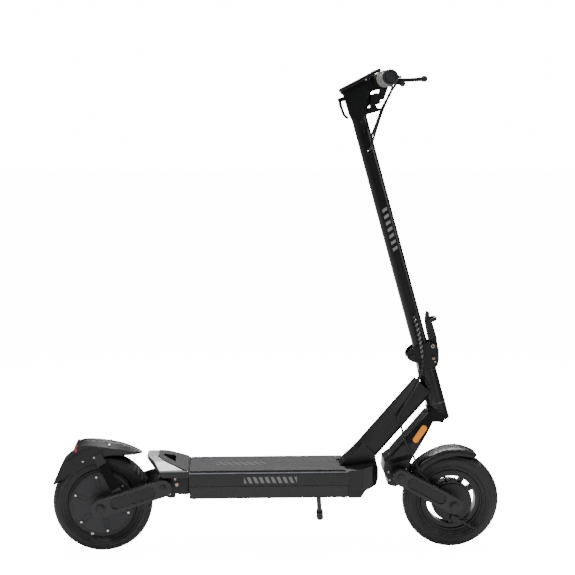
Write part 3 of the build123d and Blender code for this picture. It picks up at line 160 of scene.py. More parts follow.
class Finish:
    """One procedural material."""

    def __init__(self, name, edge=0.0):
        self.edge = edge  # radius that hard edges are shaded with, in metres
        self.material = bpy.data.materials.new(name)
        self.material.use_nodes = True
        self.nodes = self.material.node_tree.nodes
        self.links = self.material.node_tree.links
        self.shader = self.nodes["Principled BSDF"]
        self.bumps = []

    def put(self, socket, value):
        if isinstance(value, Wire):
            self.links.new(value.socket, socket)
        elif isinstance(value, (tuple, list)) and len(value) == 3 and len(socket.default_value) == 4:
            socket.default_value = (*value, 1.0)
        else:
            socket.default_value = value

    def place(self):
        """Object coordinates, in metres."""
        node = self.nodes.new("ShaderNodeTexCoord")
        split = self.nodes.new("ShaderNodeSeparateXYZ")
        self.links.new(node.outputs["Object"], split.inputs[0])
        return tuple(Wire(self, split.outputs[i]) for i in range(3))

    def _point(self, x, y, z):
        join = self.nodes.new("ShaderNodeCombineXYZ")
        for i, value in enumerate((x, y, z)):
            self.put(join.inputs[i], value)
        return Wire(self, join.outputs[0])

    def noise(self, scale, detail=3.0, rough=0.5, stretch=(1, 1, 1), at_point=None):
        x, y, z = at_point or self.place()
        node = self.nodes.new("ShaderNodeTexNoise")
        self.put(node.inputs["Vector"], self._point(x * stretch[0], y * stretch[1], z * stretch[2]))
        node.inputs["Scale"].default_value = scale
        node.inputs["Detail"].default_value = detail
        node.inputs["Roughness"].default_value = rough
        return Wire(self, node.outputs["Fac"])

    def cells(self, scale, feature="F1", stretch=(1, 1, 1), random_amount=1.0):
        x, y, z = self.place()
        node = self.nodes.new("ShaderNodeTexVoronoi")
        node.feature = feature
        self.put(node.inputs["Vector"], self._point(x * stretch[0], y * stretch[1], z * stretch[2]))
        node.inputs["Scale"].default_value = scale
        node.inputs["Randomness"].default_value = random_amount
        return Wire(self, node.outputs["Distance"])

    def attribute(self, name):
        node = self.nodes.new("ShaderNodeAttribute")
        node.attribute_name = name
        return Wire(self, node.outputs["Fac"])

    def set(self, **values):
        names = {
            "color": "Base Color",
            "rough": "Roughness",
            "metal": "Metallic",
            "coat": "Coat Weight",
            "coat_rough": "Coat Roughness",
            "glow": "Emission Color",
            "glow_by": "Emission Strength",
            "through": "Transmission Weight",
            "ior": "IOR",
            "alpha": "Alpha",
            "sheen": "Sheen Weight",
            "shine": "Specular IOR Level",
            "aniso": "Anisotropic",
        }
        for key, value in values.items():
            self.put(self.shader.inputs[names[key]], value)
        return self

    def bump(self, height, depth, strength=1.0):
        """Adds relief; depth is in metres for a height of 1."""
        node = self.nodes.new("ShaderNodeBump")
        node.inputs["Strength"].default_value = strength
        node.inputs["Distance"].default_value = depth
        self.put(node.inputs["Height"], height)
        if self.bumps:
            self.links.new(self.bumps[-1], node.inputs["Normal"])
        elif self.edge:
            soft = self.nodes.new("ShaderNodeBevel")
            soft.samples = 4
            soft.inputs["Radius"].default_value = self.edge
            self.links.new(soft.outputs[0], node.inputs["Normal"])
        self.bumps.append(node.outputs[0])
        self.links.new(node.outputs[0], self.shader.inputs["Normal"])
        return self


def powder_coat(name, base, rough=0.34, grain=0.00003, dust=0.008, edge=0.0012, shine=0.36):
    """Sprayed paint: orange peel, faint cloudiness and a little dust."""
    f = Finish(name, edge)
    cloud = f.noise(9, 4, 0.6)
    speck = f.noise(700, 2, 0.7).between(0.62, 0.75)
    dusty = (cloud.between(0.5, 0.85) * dust).low(1.0)
    tone = f.noise(60, 3, 0.6).mix([c * 0.75 for c in base], [c * 1.3 for c in base])
    sheen_level = cloud * 0.12 + (rough - 0.06) + speck * 0.06
    f.set(color=dusty.mix(tone, (0.2, 0.19, 0.18)), rough=sheen_level, shine=shine)
    f.bump(f.noise(520, 2, 0.5), grain).bump(f.noise(120, 2, 0.5), grain * 2)
    return f


def grained_plastic(name, base, rough=0.42, scale=900, depth=0.00003, edge=0.001, shine=0.36):
    """Injection-moulded plastic with a spark-eroded grain."""
    f = Finish(name, edge)
    cloud = f.noise(14, 4, 0.6)
    scuff = f.noise(180, 4, 0.8, stretch=(1, 0.3, 1)).between(0.68, 0.82)
    tone = cloud.mix([c * 0.8 for c in base], [c * 1.25 for c in base])
    f.set(color=(scuff * 0.08).mix(tone, (0.2, 0.2, 0.2)), rough=cloud * 0.14 + (rough - 0.07) + scuff * 0.1,
          shine=shine)
    f.bump(f.cells(scale), depth).bump(f.noise(scale * 0.2, 3), depth * 2)
    return f


def bright_metal(name, base, rough=0.3, stretch=(1, 1, 1), depth=0.00002, edge=0.0006, metal=1.0):
    """Machined or plated metal with fine lines and a few finger marks."""
    f = Finish(name, edge)
    lines = f.noise(600, 3, 0.6, stretch=stretch)
    marks = f.noise(35, 4, 0.6)
    f.set(
        color=marks.mix([c * 0.8 for c in base], [min(1, c * 1.12) for c in base]),
        metal=metal,
        rough=lines * 0.16 + marks * 0.12 + (rough - 0.12),
    )
    f.bump(lines, depth)
    return f


def soft_rubber(name, base, rough=0.62, edge=0.0008, chalky=0.05):
    f = Finish(name, edge)
    cloud = f.noise(22, 4, 0.6)
    grit = f.noise(700, 3, 0.7)
    chalk = f.noise(75, 5, 0.75).between(0.55, 0.8)
    tone = cloud.mix([c * 0.8 for c in base], [c * 1.25 for c in base])
    chalked = (chalk * chalky).mix(tone, (0.16, 0.155, 0.15))
    f.set(color=chalked, rough=grit * 0.15 + (rough - 0.08), shine=0.4)
    f.bump(grit, 0.00006)
    return f


BLACK = (0.0055, 0.0055, 0.006)
paint = powder_coat("satin_black_coat", BLACK)
arm_coat = powder_coat("arm_black_coat", (0.014, 0.0142, 0.0155), rough=0.26, edge=0.002)
_, ay, _ = arm_coat.place()
# the floor of the arms' recess is coloured near-black: painted shade
arm_recess_shade = ay.abs().between(0.0866, 0.0856) * ay.abs().between(0.0835, 0.0845)
arm_tone = arm_coat.noise(60, 3).mix((0.011, 0.0112, 0.0125), (0.018, 0.0182, 0.0195))
arm_coat.set(color=arm_recess_shade.mix(arm_tone, (0.004, 0.0034, 0.003)))
gloss_paint = powder_coat("gloss_black_coat", (0.006, 0.006, 0.0065), rough=0.22)
plastic = grained_plastic("grained_black_plastic", (0.006, 0.006, 0.0064))
fender_plastic = grained_plastic("fender_plastic", (0.011, 0.011, 0.012), rough=0.33)
plastic_grey = grained_plastic("grained_grey_plastic", (0.075, 0.077, 0.08), rough=0.55)
zinc = bright_metal("zinc_bolt", (0.62, 0.58, 0.54), rough=0.26)
warm_bolt = bright_metal("warm_bolt", (0.6, 0.42, 0.3), rough=0.3)
dark_bolt = bright_metal("blackened_bolt", (0.03, 0.03, 0.032), rough=0.4, metal=0.5)
anodised = bright_metal("black_anodised", (0.016, 0.016, 0.017), rough=0.34, metal=0.35)
rim_coat = powder_coat("gloss_black_rim", (0.008, 0.008, 0.009), rough=0.26)
drum_coat = powder_coat("black_drum", (0.013, 0.013, 0.014), rough=0.42, edge=0.0015)
rubber = soft_rubber("black_rubber", (0.009, 0.009, 0.009))
jacket = soft_rubber("cable_jacket", (0.009, 0.009, 0.009), rough=0.38)

# deck paint: the side carries a row of slanted marks, and a pale band along the top edge of the side is a
# painted highlight
deck_coat = powder_coat("deck_black_coat", BLACK, rough=0.28, edge=0.0)
dx, dy, dz = deck_coat.place()
side_marks = (
    (dy < -0.0905)
    * (dx > (363 - CENTRE_X) / 1000) * (dx < (497 - CENTRE_X) / 1000)
    * (dz > 0.1905) * (dz < 0.2065)
    * ((((dx + dz * 0.45) * 1000) % 15.0) < 8.5)
)
# a pale bluish band along the deck's top edge: painted highlight
shoulder_highlight_band = (dz - 0.2165).abs().between(0.0022, 0.0005)
deck_tone = deck_coat.noise(60, 3).mix((0.0065, 0.0065, 0.007), (0.011, 0.011, 0.012))
deck_with_painted_highlight = (shoulder_highlight_band * (deck_coat.noise(40, 4) * 0.5 + 0.5)).mix(deck_tone, (0.2, 0.21, 0.235))
deck_coat.set(color=(side_marks * 0.8).mix(deck_with_painted_highlight, (0.2, 0.2, 0.2)))

# motor cover: cast, with machined rings and a ring of small generic marks
motor_coat = powder_coat("cast_motor_cover", (0.022, 0.0225, 0.025), rough=0.4, grain=0.00008, edge=0.0015)
cx, _, cz = motor_coat.place()
from_axle = (cx - REAR_AXLE.x).hypot(cz - REAR_AXLE.z)
swing = (cz - REAR_AXLE.z).atan2(cx - REAR_AXLE.x)
ring_tone = (from_axle * 420.0).sin().abs().between(0.2, 0.9) * 0.25
ticks = ((((swing * 26.0) % 1.0) < 0.55) * (from_axle > 0.0565) * (from_axle < 0.0605) * (swing > 0.45)
         * (swing < 1.25))
cast = ring_tone.mix((0.018, 0.0185, 0.0205), (0.03, 0.031, 0.034))
motor_coat.set(color=(ticks * 0.8).mix(cast, (0.3, 0.3, 0.31)))

# motor screws: bright in the middle, near-black round the edge
screw_face = bright_metal("motor_screw_face", (0.6, 0.58, 0.55), rough=0.28)
sx, _, sz = screw_face.place()
out_by = (sx - REAR_AXLE.x).hypot(sz - REAR_AXLE.z)
turned = (sz - REAR_AXLE.z).atan2(sx - REAR_AXLE.x)
sixth = math.radians(60)
off = ((turned - math.radians(41 - 30) + 2 * math.pi) % sixth) - sixth / 2
from_screw = (out_by * off).hypot(out_by - 0.071)
bright_part = from_screw.between(0.0031, 0.0026)
screw_tone = bright_part.mix((0.008, 0.008, 0.008), (0.66, 0.62, 0.58))
screw_face.set(color=screw_tone, metal=bright_part * 0.9 + 0.1)

# fold bolts: the front one has a bright ring, the hinge pin is black
fold_face = bright_metal("fold_bolt_face", (0.5, 0.45, 0.4), rough=0.3)
fx, _, fz = fold_face.place()
front_bolt = on_column(28, 540)
from_bolt = (fx - front_bolt.x).hypot(fz - front_bolt.z)
bright_ring = from_bolt.between(0.0052, 0.0046) * from_bolt.between(0.0022, 0.0028)
fold_face.set(color=bright_ring.mix((0.01, 0.01, 0.01), (0.6, 0.5, 0.42)), metal=bright_ring * 0.8 + 0.15)

# kick plate: blasted casting, black below the deck's edge line and under the mat; inside the hook opening it
# is black as painted shade
silver = bright_metal("blasted_silver", (0.5, 0.505, 0.52), rough=0.34, edge=0.0015)
kx, ky, kz = silver.place()
blast = silver.noise(420, 3, 0.6, stretch=(0.25, 1, 1))
alloy = blast.mix((0.2, 0.202, 0.21), (0.34, 0.343, 0.355))
low_part = kz.between(0.2218, 0.2205)
# the inside of the hook opening is coloured black: painted shade
hook_hole_shade = (kx > (156 - CENTRE_X) / 1000) * (kx < (191 - CENTRE_X) / 1000) * (ky.abs() < 0.0375)
under_mat = (kx > (217.5 - CENTRE_X) / 1000) * (ky.abs() < 0.0765)
black_and_hole_shade = 1 - (1 - low_part) * (1 - hook_hole_shade) * (1 - under_mat)
silver.set(color=black_and_hole_shade.mix(alloy, (0.008, 0.008, 0.009)), metal=0.95 - black_and_hole_shade * 0.8)

fork_strip = bright_metal("dark_grey_strip", (0.085, 0.087, 0.09), rough=0.36, metal=0.6, stretch=(1, 0.2, 1))

# grips: pale grey rubber with rows of small diamonds
grip_rubber = soft_rubber("pale_grip_rubber", (0.27, 0.26, 0.245), rough=0.55, chalky=0.25)
gx, gy, gz = grip_rubber.place()
bar_axis = on_column(74, 1226)
around = (gz - bar_axis.z).atan2(gx - bar_axis.x)
grip_rubber.bump((around * 22.0 + gy * 900.0).sin() * (around * 22.0 - gy * 900.0).sin(), 0.0003, 0.8)

# bar ends: black caps with a turned ring
cap = grained_plastic("cap_plastic", (0.012, 0.012, 0.013), rough=0.36)
ex, _, ez = cap.place()
from_bar = (ex - bar_axis.x).hypot(ez - bar_axis.z)
cap_ring = (from_bar - 0.0125).abs().between(0.0018, 0.0008)
cap.set(color=cap_ring.mix((0.03, 0.031, 0.035), (0.005, 0.005, 0.005)))
cap.bump(cap_ring, -0.0006)


def glow_lens(name, base, rough, cell, depth, coat=0.6, through=0.0, glow=0.0):
    """A moulded lens with prisms behind a smooth skin."""
    f = Finish(name)
    prism = f.cells(cell, random_amount=0.0)
    blotch = f.noise(90, 3).between(0.35, 0.65)
    tone = prism.mix([c * 0.5 for c in base], base)
    f.set(color=(blotch * 0.35).mix(tone, [c * 0.55 for c in base]), rough=prism * 0.1 + rough, coat=coat,
          coat_rough=0.05, through=through, glow=[c * 0.9 for c in base], glow_by=glow)
    f.bump(prism, depth, 0.6)
    return f


# the orange reflector is no lamp, yet it is given a faint glow: painted light
orange = glow_lens("orange_reflector", (0.95, 0.3, 0.0), 0.42, 220, 0.0001, coat=0.08, glow=0.22)
red = glow_lens("red_tail_lens", (0.5, 0.006, 0.008), 0.12, 260, 0.0004, through=0.1)
clear = glow_lens("clear_lamp_lens", (0.7, 0.73, 0.76), 0.08, 240, 0.0008, through=0.6)
screen = Finish("smoked_screen")
screen_cloud = screen.noise(40, 4)
screen.set(color=screen_cloud.mix((0.004, 0.004, 0.005), (0.009, 0.009, 0.011)),
           rough=screen_cloud * 0.08 + 0.06,
           coat=1.0, coat_rough=0.03)
screen.bump(screen.noise(25, 2), 0.00005)

# rubber mat: lengthwise ribs, with a field of small generic bars near the kick plate
mat = soft_rubber("deck_grip_mat", (0.012, 0.012, 0.013), rough=0.7)
mx, my, _ = mat.place()
rib = (my * 1570.0).sin()
streak = mat.noise(30, 4, 0.7, stretch=(0.12, 4.0, 1))
mat_marks = (
    (mx > (292 - CENTRE_X) / 1000) * (mx < (420 - CENTRE_X) / 1000) * (my.abs() < 0.02)
    * ((((mx + my * 0.5) * 1000) % 18.0) < 9.0)
)
mat_tone = streak.between(0.35, 0.7).mix((0.008, 0.008, 0.009), (0.024, 0.024, 0.026))
mat.set(color=(mat_marks * 0.5).mix(mat_tone, (0.1, 0.1, 0.1)))
mat.bump(rib.between(-0.5, 0.5), 0.0005, 0.8)

FINISHES = {
    "deck_frame": deck_coat, "neck_frame": paint, "rear_bracket": paint, "fork": paint, "fold_base": paint,
    "stem_foot": paint, "stem_tube": paint, "stem_head": paint, "front_arms": arm_coat, "rear_arms": arm_coat,
    "kickstand_bracket": paint, "battery_cover": plastic, "kick_plate": silver, "fork_cover": fork_strip,
    "deck_mat": mat, "kick_pad": mat, "frame_screws": zinc, "fold_bolts": fold_face,
    "motor_screws": screw_face,
    "front_axle": dark_bolt, "rear_axle": dark_bolt, "head_bearings": zinc, "display": plastic,
    "throttle_housing": plastic, "control_pod": plastic, "lamp_housing": plastic,
    "front_fender": fender_plastic,
    "rear_fender": fender_plastic, "mudflap": plastic, "throttle_paddle": plastic, "lever_mounts": anodised,
    "fender_struts": gloss_paint, "display_lens": screen, "lamp_lens": clear, "tail_light": red,
    "fork_reflectors": orange, "grips": grip_rubber, "kickstand_foot": rubber, "bar_ends": cap,
    "handlebar": anodised, "brake_lever_left": anodised, "brake_lever_right": anodised,
    "latch_lever": anodised, "safety_catch": dark_bolt, "brake_arm": dark_bolt, "power_button": plastic_grey,
    "horn_button": plastic_grey, "lamp_button": plastic_grey, "hook": dark_bolt, "kickstand_leg": paint,
    "upper_cables": jacket, "fold_cable": jacket, "steer_cable": jacket, "arm_cable": jacket,
    "front_rim": rim_coat, "brake_plate": drum_coat, "motor_shell": drum_coat, "motor_covers": motor_coat,
    "front_tyre": rubber, "rear_tyre": rubber,
}
for name, obj in nodes.items():
    obj.data.materials.clear()
    obj.data.materials.append(FINISHES[name].material)

# ---------------------------------------------------------------- mesh helpers
def finish_mesh(name, mesh, finish, body, soft_angle=35, replaces=()):
    """Turns a bmesh into a piece; given a body's name it rides on that body, else it stays where it is built.
    """
    bmesh.ops.recalc_face_normals(mesh, faces=mesh.faces)
    data = bpy.data.meshes.new(name)
    mesh.to_mesh(data)
    mesh.free()
    data.materials.append(finish.material)
    piece = bpy.data.objects.new(name, data)
    bpy.context.collection.objects.link(piece)
    data.shade_smooth()
    data.set_sharp_from_angle(angle=math.radians(soft_angle))
    if isinstance(body, str):
        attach(piece, body)
    else:
        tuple(body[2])
        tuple(body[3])
        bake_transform(piece)
    if replaces:
        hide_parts(*replaces)
    return piece


def frame_of(direction):
    """Two directions across a given one."""
    direction = direction.normalized()
    side = direction.cross(Vector((0, 1, 0)))
    if side.length < 0.1:
        side = direction.cross(Vector((1, 0, 0)))
    side.normalize()
    return side, direction.cross(side)


def loop_of(mesh, points):
    return [mesh.verts.new(p) for p in points]


def join_loops(mesh, first, second, closed=True):
    count = len(first)
    for i in range(count if closed else count - 1):
        j = (i + 1) % count
        mesh.faces.new((first[i], first[j], second[j], second[i]))


def lathe(mesh, centre, axis, profile, sides=28):
    """Turns (radius, height) pairs about an axis; radius 0 closes the shape."""
    axis = axis.normalized()
    across, up = frame_of(axis)
    previous = None
    for radius, height in profile:
        mid = centre + axis * height
        if radius <= 0:
            ring = [mesh.verts.new(mid)]
        else:
            ring = loop_of(mesh, [
                mid + (across * math.cos(t) + up * math.sin(t)) * radius
                for t in (2 * math.pi * k / sides for k in range(sides))
            ])
        if previous:
            if len(ring) == 1 or len(previous) == 1:
                one, many = (ring, previous) if len(ring) == 1 else (previous, ring)
                for i in range(len(many)):
                    mesh.faces.new((one[0], many[i], many[(i + 1) % len(many)]))
            else:
                join_loops(mesh, previous, ring)
        previous = ring


def bolt(mesh, centre, axis, radius, height, recess=0.45):
    """A button head with a round socket."""
    mm = 0.001
    r, h = radius * mm, height * mm
    lathe(mesh, centre, axis, [
        (0, 0), (r, 0), (r, h * 0.45), (r * 0.92, h * 0.8), (r * 0.72, h), (r * recess, h),
        (r * recess * 0.92, h * 0.35), (0, h * 0.3),
    ])


def smooth_path(points, steps=10):
    """A clamped quadratic B-spline through the middles of the runs."""
    points = [Vector(p) for p in points]
    path = [points[0]]
    for i in range(1, len(points) - 1):
        start = points[i - 1] if i == 1 else (points[i - 1] + points[i]) / 2
        end = points[i + 1] if i == len(points) - 2 else (points[i] + points[i + 1]) / 2
        for k in range(1, steps + 1):
            t = k / steps
            path.append(start * (1 - t) ** 2 + points[i] * 2 * t * (1 - t) + end * t * t)
    return path


def tube(mesh, path, radius, sides=12, closed=False, ridge=None):
    """A round tube along a path; ridge(turn, along) adds to its radius."""
    rings = []
    along = 0.0
    side = None
    count = len(path)
    for i, here in enumerate(path):
        before = path[i - 1] if i or closed else here
        after = path[(i + 1) % count] if i < count - 1 or closed else here
        direction = (after - before).normalized()
        if side is None:
            side, _ = frame_of(direction)
        side = (side - direction * side.dot(direction)).normalized()
        up = direction.cross(side)
        if i:
            along += (here - path[i - 1]).length
        ring = []
        for k in range(sides):
            t = 2 * math.pi * k / sides
            r = radius + (ridge(t, along) if ridge else 0.0)
            ring.append(mesh.verts.new(here + (side * math.cos(t) + up * math.sin(t)) * r))
        rings.append(ring)
    for first, second in zip(rings, rings[1:]):
        join_loops(mesh, first, second)
    if closed:
        join_loops(mesh, rings[-1], rings[0])
    else:
        for ring, here in ((rings[0], path[0]), (rings[-1], path[-1])):
            tip = mesh.verts.new(here)
            for i in range(sides):
                mesh.faces.new((tip, ring[i], ring[(i + 1) % sides]))


def plate(mesh, outline, near, far, place=at, bevel=0.0008):
    """A flat plate: an outline in side view between two distances to the rider's left."""
    count = len(outline)
    mid = [sum(p[k] for p in outline) / count for k in (0, 1)]

    def ring(y, inset):
        return [place(*(c + (m - c) * inset for c, m in zip(p, mid)), y) if place is on_column
                else place(p[0] + (mid[0] - p[0]) * inset, y, p[1] + (mid[1] - p[1]) * inset)
                for p in outline]

    size = max(abs(p[k] - mid[k]) for p in outline for k in (0, 1))
    inset = bevel * 1000 / size
    step = bevel * 1000 * (1 if far > near else -1)
    loops = [loop_of(mesh, ring(near, inset)), loop_of(mesh, ring(near + step, 0)),
             loop_of(mesh, ring(far - step, 0)), loop_of(mesh, ring(far, inset))]
    mesh.faces.new(loops[0])
    for first, second in zip(loops, loops[1:]):
        join_loops(mesh, first, second)
    mesh.faces.new(loops[-1])


# ---------------------------------------------------------------- tyres with a cut tread
def tyre(name, body, node, centre, outer, bead, width, bead_width, pitches):
    """A tyre whose crown is cut by slanted grooves and whose sides carry raised rings."""
    half, crown = width / 2, 15.0
    section = []
    profile = [
        (-bead_width / 2 + 4, bead - 1), (-bead_width / 2, bead), (-bead_width / 2 - 1, bead + 6),
        (-half + 1.4, bead + (outer - bead) * 0.32), (-half, bead + (outer - bead) * 0.52),
        (-half + 1.2, bead + (outer - bead) * 0.72), (-half + 6.5, outer - 4.6), (-crown, outer), (0, outer),
    ]
    profile += [(-y, r) for y, r in reversed(profile[:-1])]
    dense = smooth_path([(y, r, 0) for y, r in profile], 7)
    section = [(p.x, p.y) for p in dense]
    low = min(p[0] for p in section)
    turns = 720
    mesh = bmesh.new()
    shade = mesh.verts.layers.float.new("groove_shade")
    rings = []
    for k in range(turns):
        t = 2 * math.pi * k / turns
        ring = []
        for y, r in section:
            cut = 0.0
            if r > outer - 9:
                for mid in (-8.0, 8.0):
                    cut = max(cut, 1 - min(1, abs(y - mid) / 1.9))
                if abs(y) > 9.0:
                    phase = (pitches * k / turns + (abs(y) - 9) * 0.055 + (0.5 if y > 0 else 0)) % 1.0
                    cut = max(cut, min(1, max(0, 1 - abs(phase - 0.5) / 0.14) * 2.2))
                else:
                    phase = (pitches * 2 * k / turns + y * 0.03) % 1.0
                    cut = max(cut, 0.45 * min(1, max(0, 1 - abs(phase - 0.5) / 0.12) * 2))
                cut *= min(1.0, (r - (outer - 9)) / 3)
            raised = 0.0
            for ring_r in (bead + 10, bead + 17, outer - 12):
                raised = max(raised, 1 - min(1, abs(r - ring_r) / 1.4))
            r_cut = r - 3.0 * min(1, cut)
            y_out = y + (-1.1 if y > 0 else 1.1) * raised * (1 if abs(y) > crown + 4 else 0)
            vert = mesh.verts.new(centre + Vector((
                math.cos(t) * r_cut / 1000, max(low, min(-low, y_out)) / 1000, math.sin(t) * r_cut / 1000)))
            vert[shade] = min(1, cut)
            ring.append(vert)
        rings.append(ring)
    for k in range(turns):
        join_loops(mesh, rings[k], rings[(k + 1) % turns], closed=False)
    return finish_mesh(name, mesh, TREAD, body, 50, (node,))


TREAD = soft_rubber("tread_rubber", (0.0095, 0.0095, 0.0095), rough=0.58, edge=0.0)
# the tread's grooves are coloured darker than the crown: painted shade
groove_shade = TREAD.attribute("groove_shade")
scrub = TREAD.noise(45, 4, 0.7).between(0.4, 0.75)
worn = scrub.mix((0.008, 0.008, 0.008), (0.02, 0.0195, 0.019))
TREAD.set(color=groove_shade.mix(worn, (0.0035, 0.0035, 0.0035)), rough=scrub * 0.14 + 0.46)
tyre("front_tyre_tread", "front_wheel", "front_tyre", FRONT_AXLE, 124.0, 79.0, 60.0, 48.0, 48)
tyre("rear_tyre_tread", "rear_wheel", "rear_tyre", REAR_AXLE, 127.5, 87.0, 66.0, 54.0, 50)

# ---------------------------------------------------------------- wheels: small parts
ribs = bmesh.new()
for side in (-1, 1):
    for n in range(6):
        spin = math.radians(41 + 60 * n)
        radial = Vector((math.cos(spin), 0, math.sin(spin)))
        across = Vector((-math.sin(spin), 0, math.cos(spin)))
        loop = []
        for k in range(28):
            t = 2 * math.pi * k / 28
            end = 0.062 if math.cos(t) > 0 else 0.044
            loop.append(REAR_AXLE + radial * (end + 0.0052 * math.cos(t)) + across * 0.0052 * math.sin(t)
                        + Vector((0, side * 0.0371, 0)))
        tube(ribs, loop, 0.0008, 8, closed=True)
    rim_loop = [REAR_AXLE + Vector((math.cos(t) * 0.0775, side * 0.0369, math.sin(t) * 0.0775))
                for t in (2 * math.pi * k / 96 for k in range(96))]
    tube(ribs, rim_loop, 0.0009, 8, closed=True)
finish_mesh("motor_cover_ribs", ribs, motor_coat, "rear_wheel")

valve = bmesh.new()
down = math.radians(-108.7)
spot = REAR_AXLE + Vector((math.cos(down) * 0.0805, -0.0335, math.sin(down) * 0.0805))
lathe(valve, spot, Vector((0, -1, 0)), [(0, -0.002), (0.0046, -0.002), (0.0046, 0.004), (0.004, 0.0052),
                                        (0.0026, 0.0056), (0.0024, 0.0085), (0.0018, 0.0092), (0, 0.0092)])
finish_mesh("rear_valve_cap", valve, zinc, "rear_wheel")
valve = bmesh.new()
out = Vector((math.cos(math.radians(104)), 0, math.sin(math.radians(104))))
lathe(valve, FRONT_AXLE + out * 0.046, out, [
    (0, 0), (0.0028, 0), (0.0028, 0.010), (0.0036, 0.011), (0.0036, 0.0165),
                                             (0.0022, 0.018), (0, 0.018)], 16)
finish_mesh("front_valve_stem", valve, rubber, "front_wheel")

# ---------------------------------------------------------------- rear fender fittings
side_plate = [(-64, 258), (-52, 266), (-22, 277), (-8, 276), (8, 268), (-2, 247), (-12, 243), (-34, 233),
              (-62, 232), (-84, 240)]
fittings = bmesh.new()
for side in (-1, 1):
    plate(fittings, side_plate, side * 38.7, side * 41.2)
finish_mesh("fender_side_plates", fittings, plastic, "rear_arm")
bolts = bmesh.new()
for side in (-1, 1):
    for x, z in ((-47, 240), (-18, 250)):
        bolt(bolts, at(x, side * 41.2, z), Vector((0, side, 0)), 2.7, 1.8, 0.3)
    bolt(bolts, at(40, side * 74.0 - side * 8.2, 168), Vector((0, -side, 0)), 4.5, 2.4)
finish_mesh("fender_bolts", bolts, zinc, "rear_arm")
dot = bmesh.new()
bolt(dot, at(20, -30, 280.3), Vector((0, -0.45, 0.9)), 3.2, 1.4)
bolt(dot, at(20, 30, 280.3), Vector((0, 0.45, 0.9)), 3.2, 1.4)
finish_mesh("fender_top_studs", dot, zinc, "rear_arm")
edge_bead = bmesh.new()
lip = [(-14, 247), (-4, 250.3), (20, 254.8), (50, 254.8), (76, 252.8)]
for side in (-1, 1):
    edge = [at(x, side * (38.3 if x < 30 else 36.0 if x < 60 else 28.2), z) for x, z in lip]
    tube(edge_bead, smooth_path(edge, 6),
         0.0012, 8)
finish_mesh("fender_edge_bead", edge_bead, fender_plastic, "rear_arm")

# ---------------------------------------------------------------- rear bracket, fork and stem bolts
bolts = bmesh.new()
for side in (-1, 1):
    for x, z, r in ((188, 196, 3.4), (192, 182, 5.2), (174, 157, 3.2)):
        bolt(bolts, at(x, side * 58, z), Vector((0, side, 0)), r, 2.4)
finish_mesh("rear_bracket_bolts", bolts, warm_bolt, "frame")
webs = bmesh.new()
for side in (-1, 1):
    plate(webs, [(196, 156), (222, 156), (222, 200), (202, 200), (196, 188)], side * 58, side * 61)
    plate(webs, [(160, 200), (186, 204), (222, 204), (222, 209), (158, 209)], side * 58, side * 72)
finish_mesh("rear_bracket_webs", webs, paint, "frame")
bolts = bmesh.new()
for side in (-1, 1):
    for x, z, r in ((734, 205, 2.6), (737, 184, 2.6), (779, 212, 3.0)):
        bolt(bolts, at(x, side * 44, z), Vector((0, side, 0)), r, 1.8)
finish_mesh("fork_side_bolts", bolts, zinc, "steering")
caps = bmesh.new()
for side in (-1, 1):
    bolt(caps, at(762, side * 92, 199), Vector((0, side, 0)), 6.4, 1.6)
finish_mesh("front_pivot_caps", caps, dark_bolt, "front_arm")
caps = bmesh.new()
for side in (-1, 1):
    bolt(caps, at(159, side * 92, 178), Vector((0, side, 0)), 6.4, 1.6)
finish_mesh("rear_pivot_caps", caps, dark_bolt, "rear_arm")
bolts = bmesh.new()
for side in (-1, 1):
    for x, h in ((1.6, 1139), (2.0, 1114)):
        bolt(bolts, on_column(x, h, side * 22), Vector((0, side, 0)), 3.4, 1.3)
finish_mesh("stem_screws", bolts, dark_bolt, "stem")
bolts = bmesh.new()
for side in (-1, 1):
    bolt(bolts, on_column(22, 510, side * 31), Vector((0, side, 0)), 4.6, 2.2)
    bolt(bolts, on_column(23.5, 500, side * 31), Vector((0, side, 0)), 2.4, 1.6)
finish_mesh("fold_base_bolts", bolts, warm_bolt, "steering")

# bright lip of the stem's cable hole, and the grommets where the upper cables go in
eyelet = bmesh.new()
hole = [on_column(2.5 + 5.2 * math.sin(t), 622.5 + 10.5 * math.cos(t), -22.3)
        for t in (2 * math.pi * k / 32 for k in range(32))]
tube(eyelet, hole, 0.0011, 8, closed=True)
finish_mesh("cable_hole_lip", eyelet, anodised, "stem")
eyelet = bmesh.new()
for side, height in ((-1, 1062), (1, 1066)):
    loop = [on_column(1.5 + 6.2 * math.sin(t), height + 6.2 * math.cos(t), side * 22.6)
            for t in (2 * math.pi * k / 28 for k in range(28))]
    tube(eyelet, loop, 0.0019, 10, closed=True)
finish_mesh("cable_grommets", eyelet, rubber, "stem")

# mark on the stem's right side: slanted generic bars
marks = bmesh.new()
for k in range(7):
    low = 800 + 17 * k
    bar = [(-6, low), (7, low + 5), (7, low + 13), (-6, low + 8)]
    plate(marks, bar, -22.0, -22.25, place=on_column, bevel=0.00005)
MARK = Finish("pale_mark")
MARK.set(color=MARK.noise(300, 3).mix((0.16, 0.16, 0.165), (0.24, 0.24, 0.25)),
         rough=MARK.noise(90, 2) * 0.2 + 0.4)
MARK.bump(MARK.noise(900, 2), 0.00002)
finish_mesh("stem_mark", marks, MARK, "stem")

# ---------------------------------------------------------------- lamp bracket, hook pivot caps, hook sleeve
bracket = bmesh.new()
plate(bracket, [(16, 1164), (31, 1170.5), (44.5, 1197), (36, 1209), (18, 1206)], -13, 13, place=on_column)
finish_mesh("lamp_bracket", bracket, plastic, "stem")
bolts = bmesh.new()
for side in (-1, 1):
    bolt(bolts, on_column(-35, 1205, side * 3), Vector((0, side, 0)), 4.2, 2.0)
finish_mesh("hook_pivot_caps", bolts, zinc, "bag_hook")

sleeve = bmesh.new()
sleeve_route = [(-37.6, 1199), (-36.8, 1182), (-35.3, 1168), (-31.5, 1159), (-27, 1155.6)]
tube(sleeve, smooth_path([on_column(x, h) for x, h in sleeve_route], 8), 0.0036, 14)
finish_mesh("hook_sleeve", sleeve, rubber, "bag_hook")

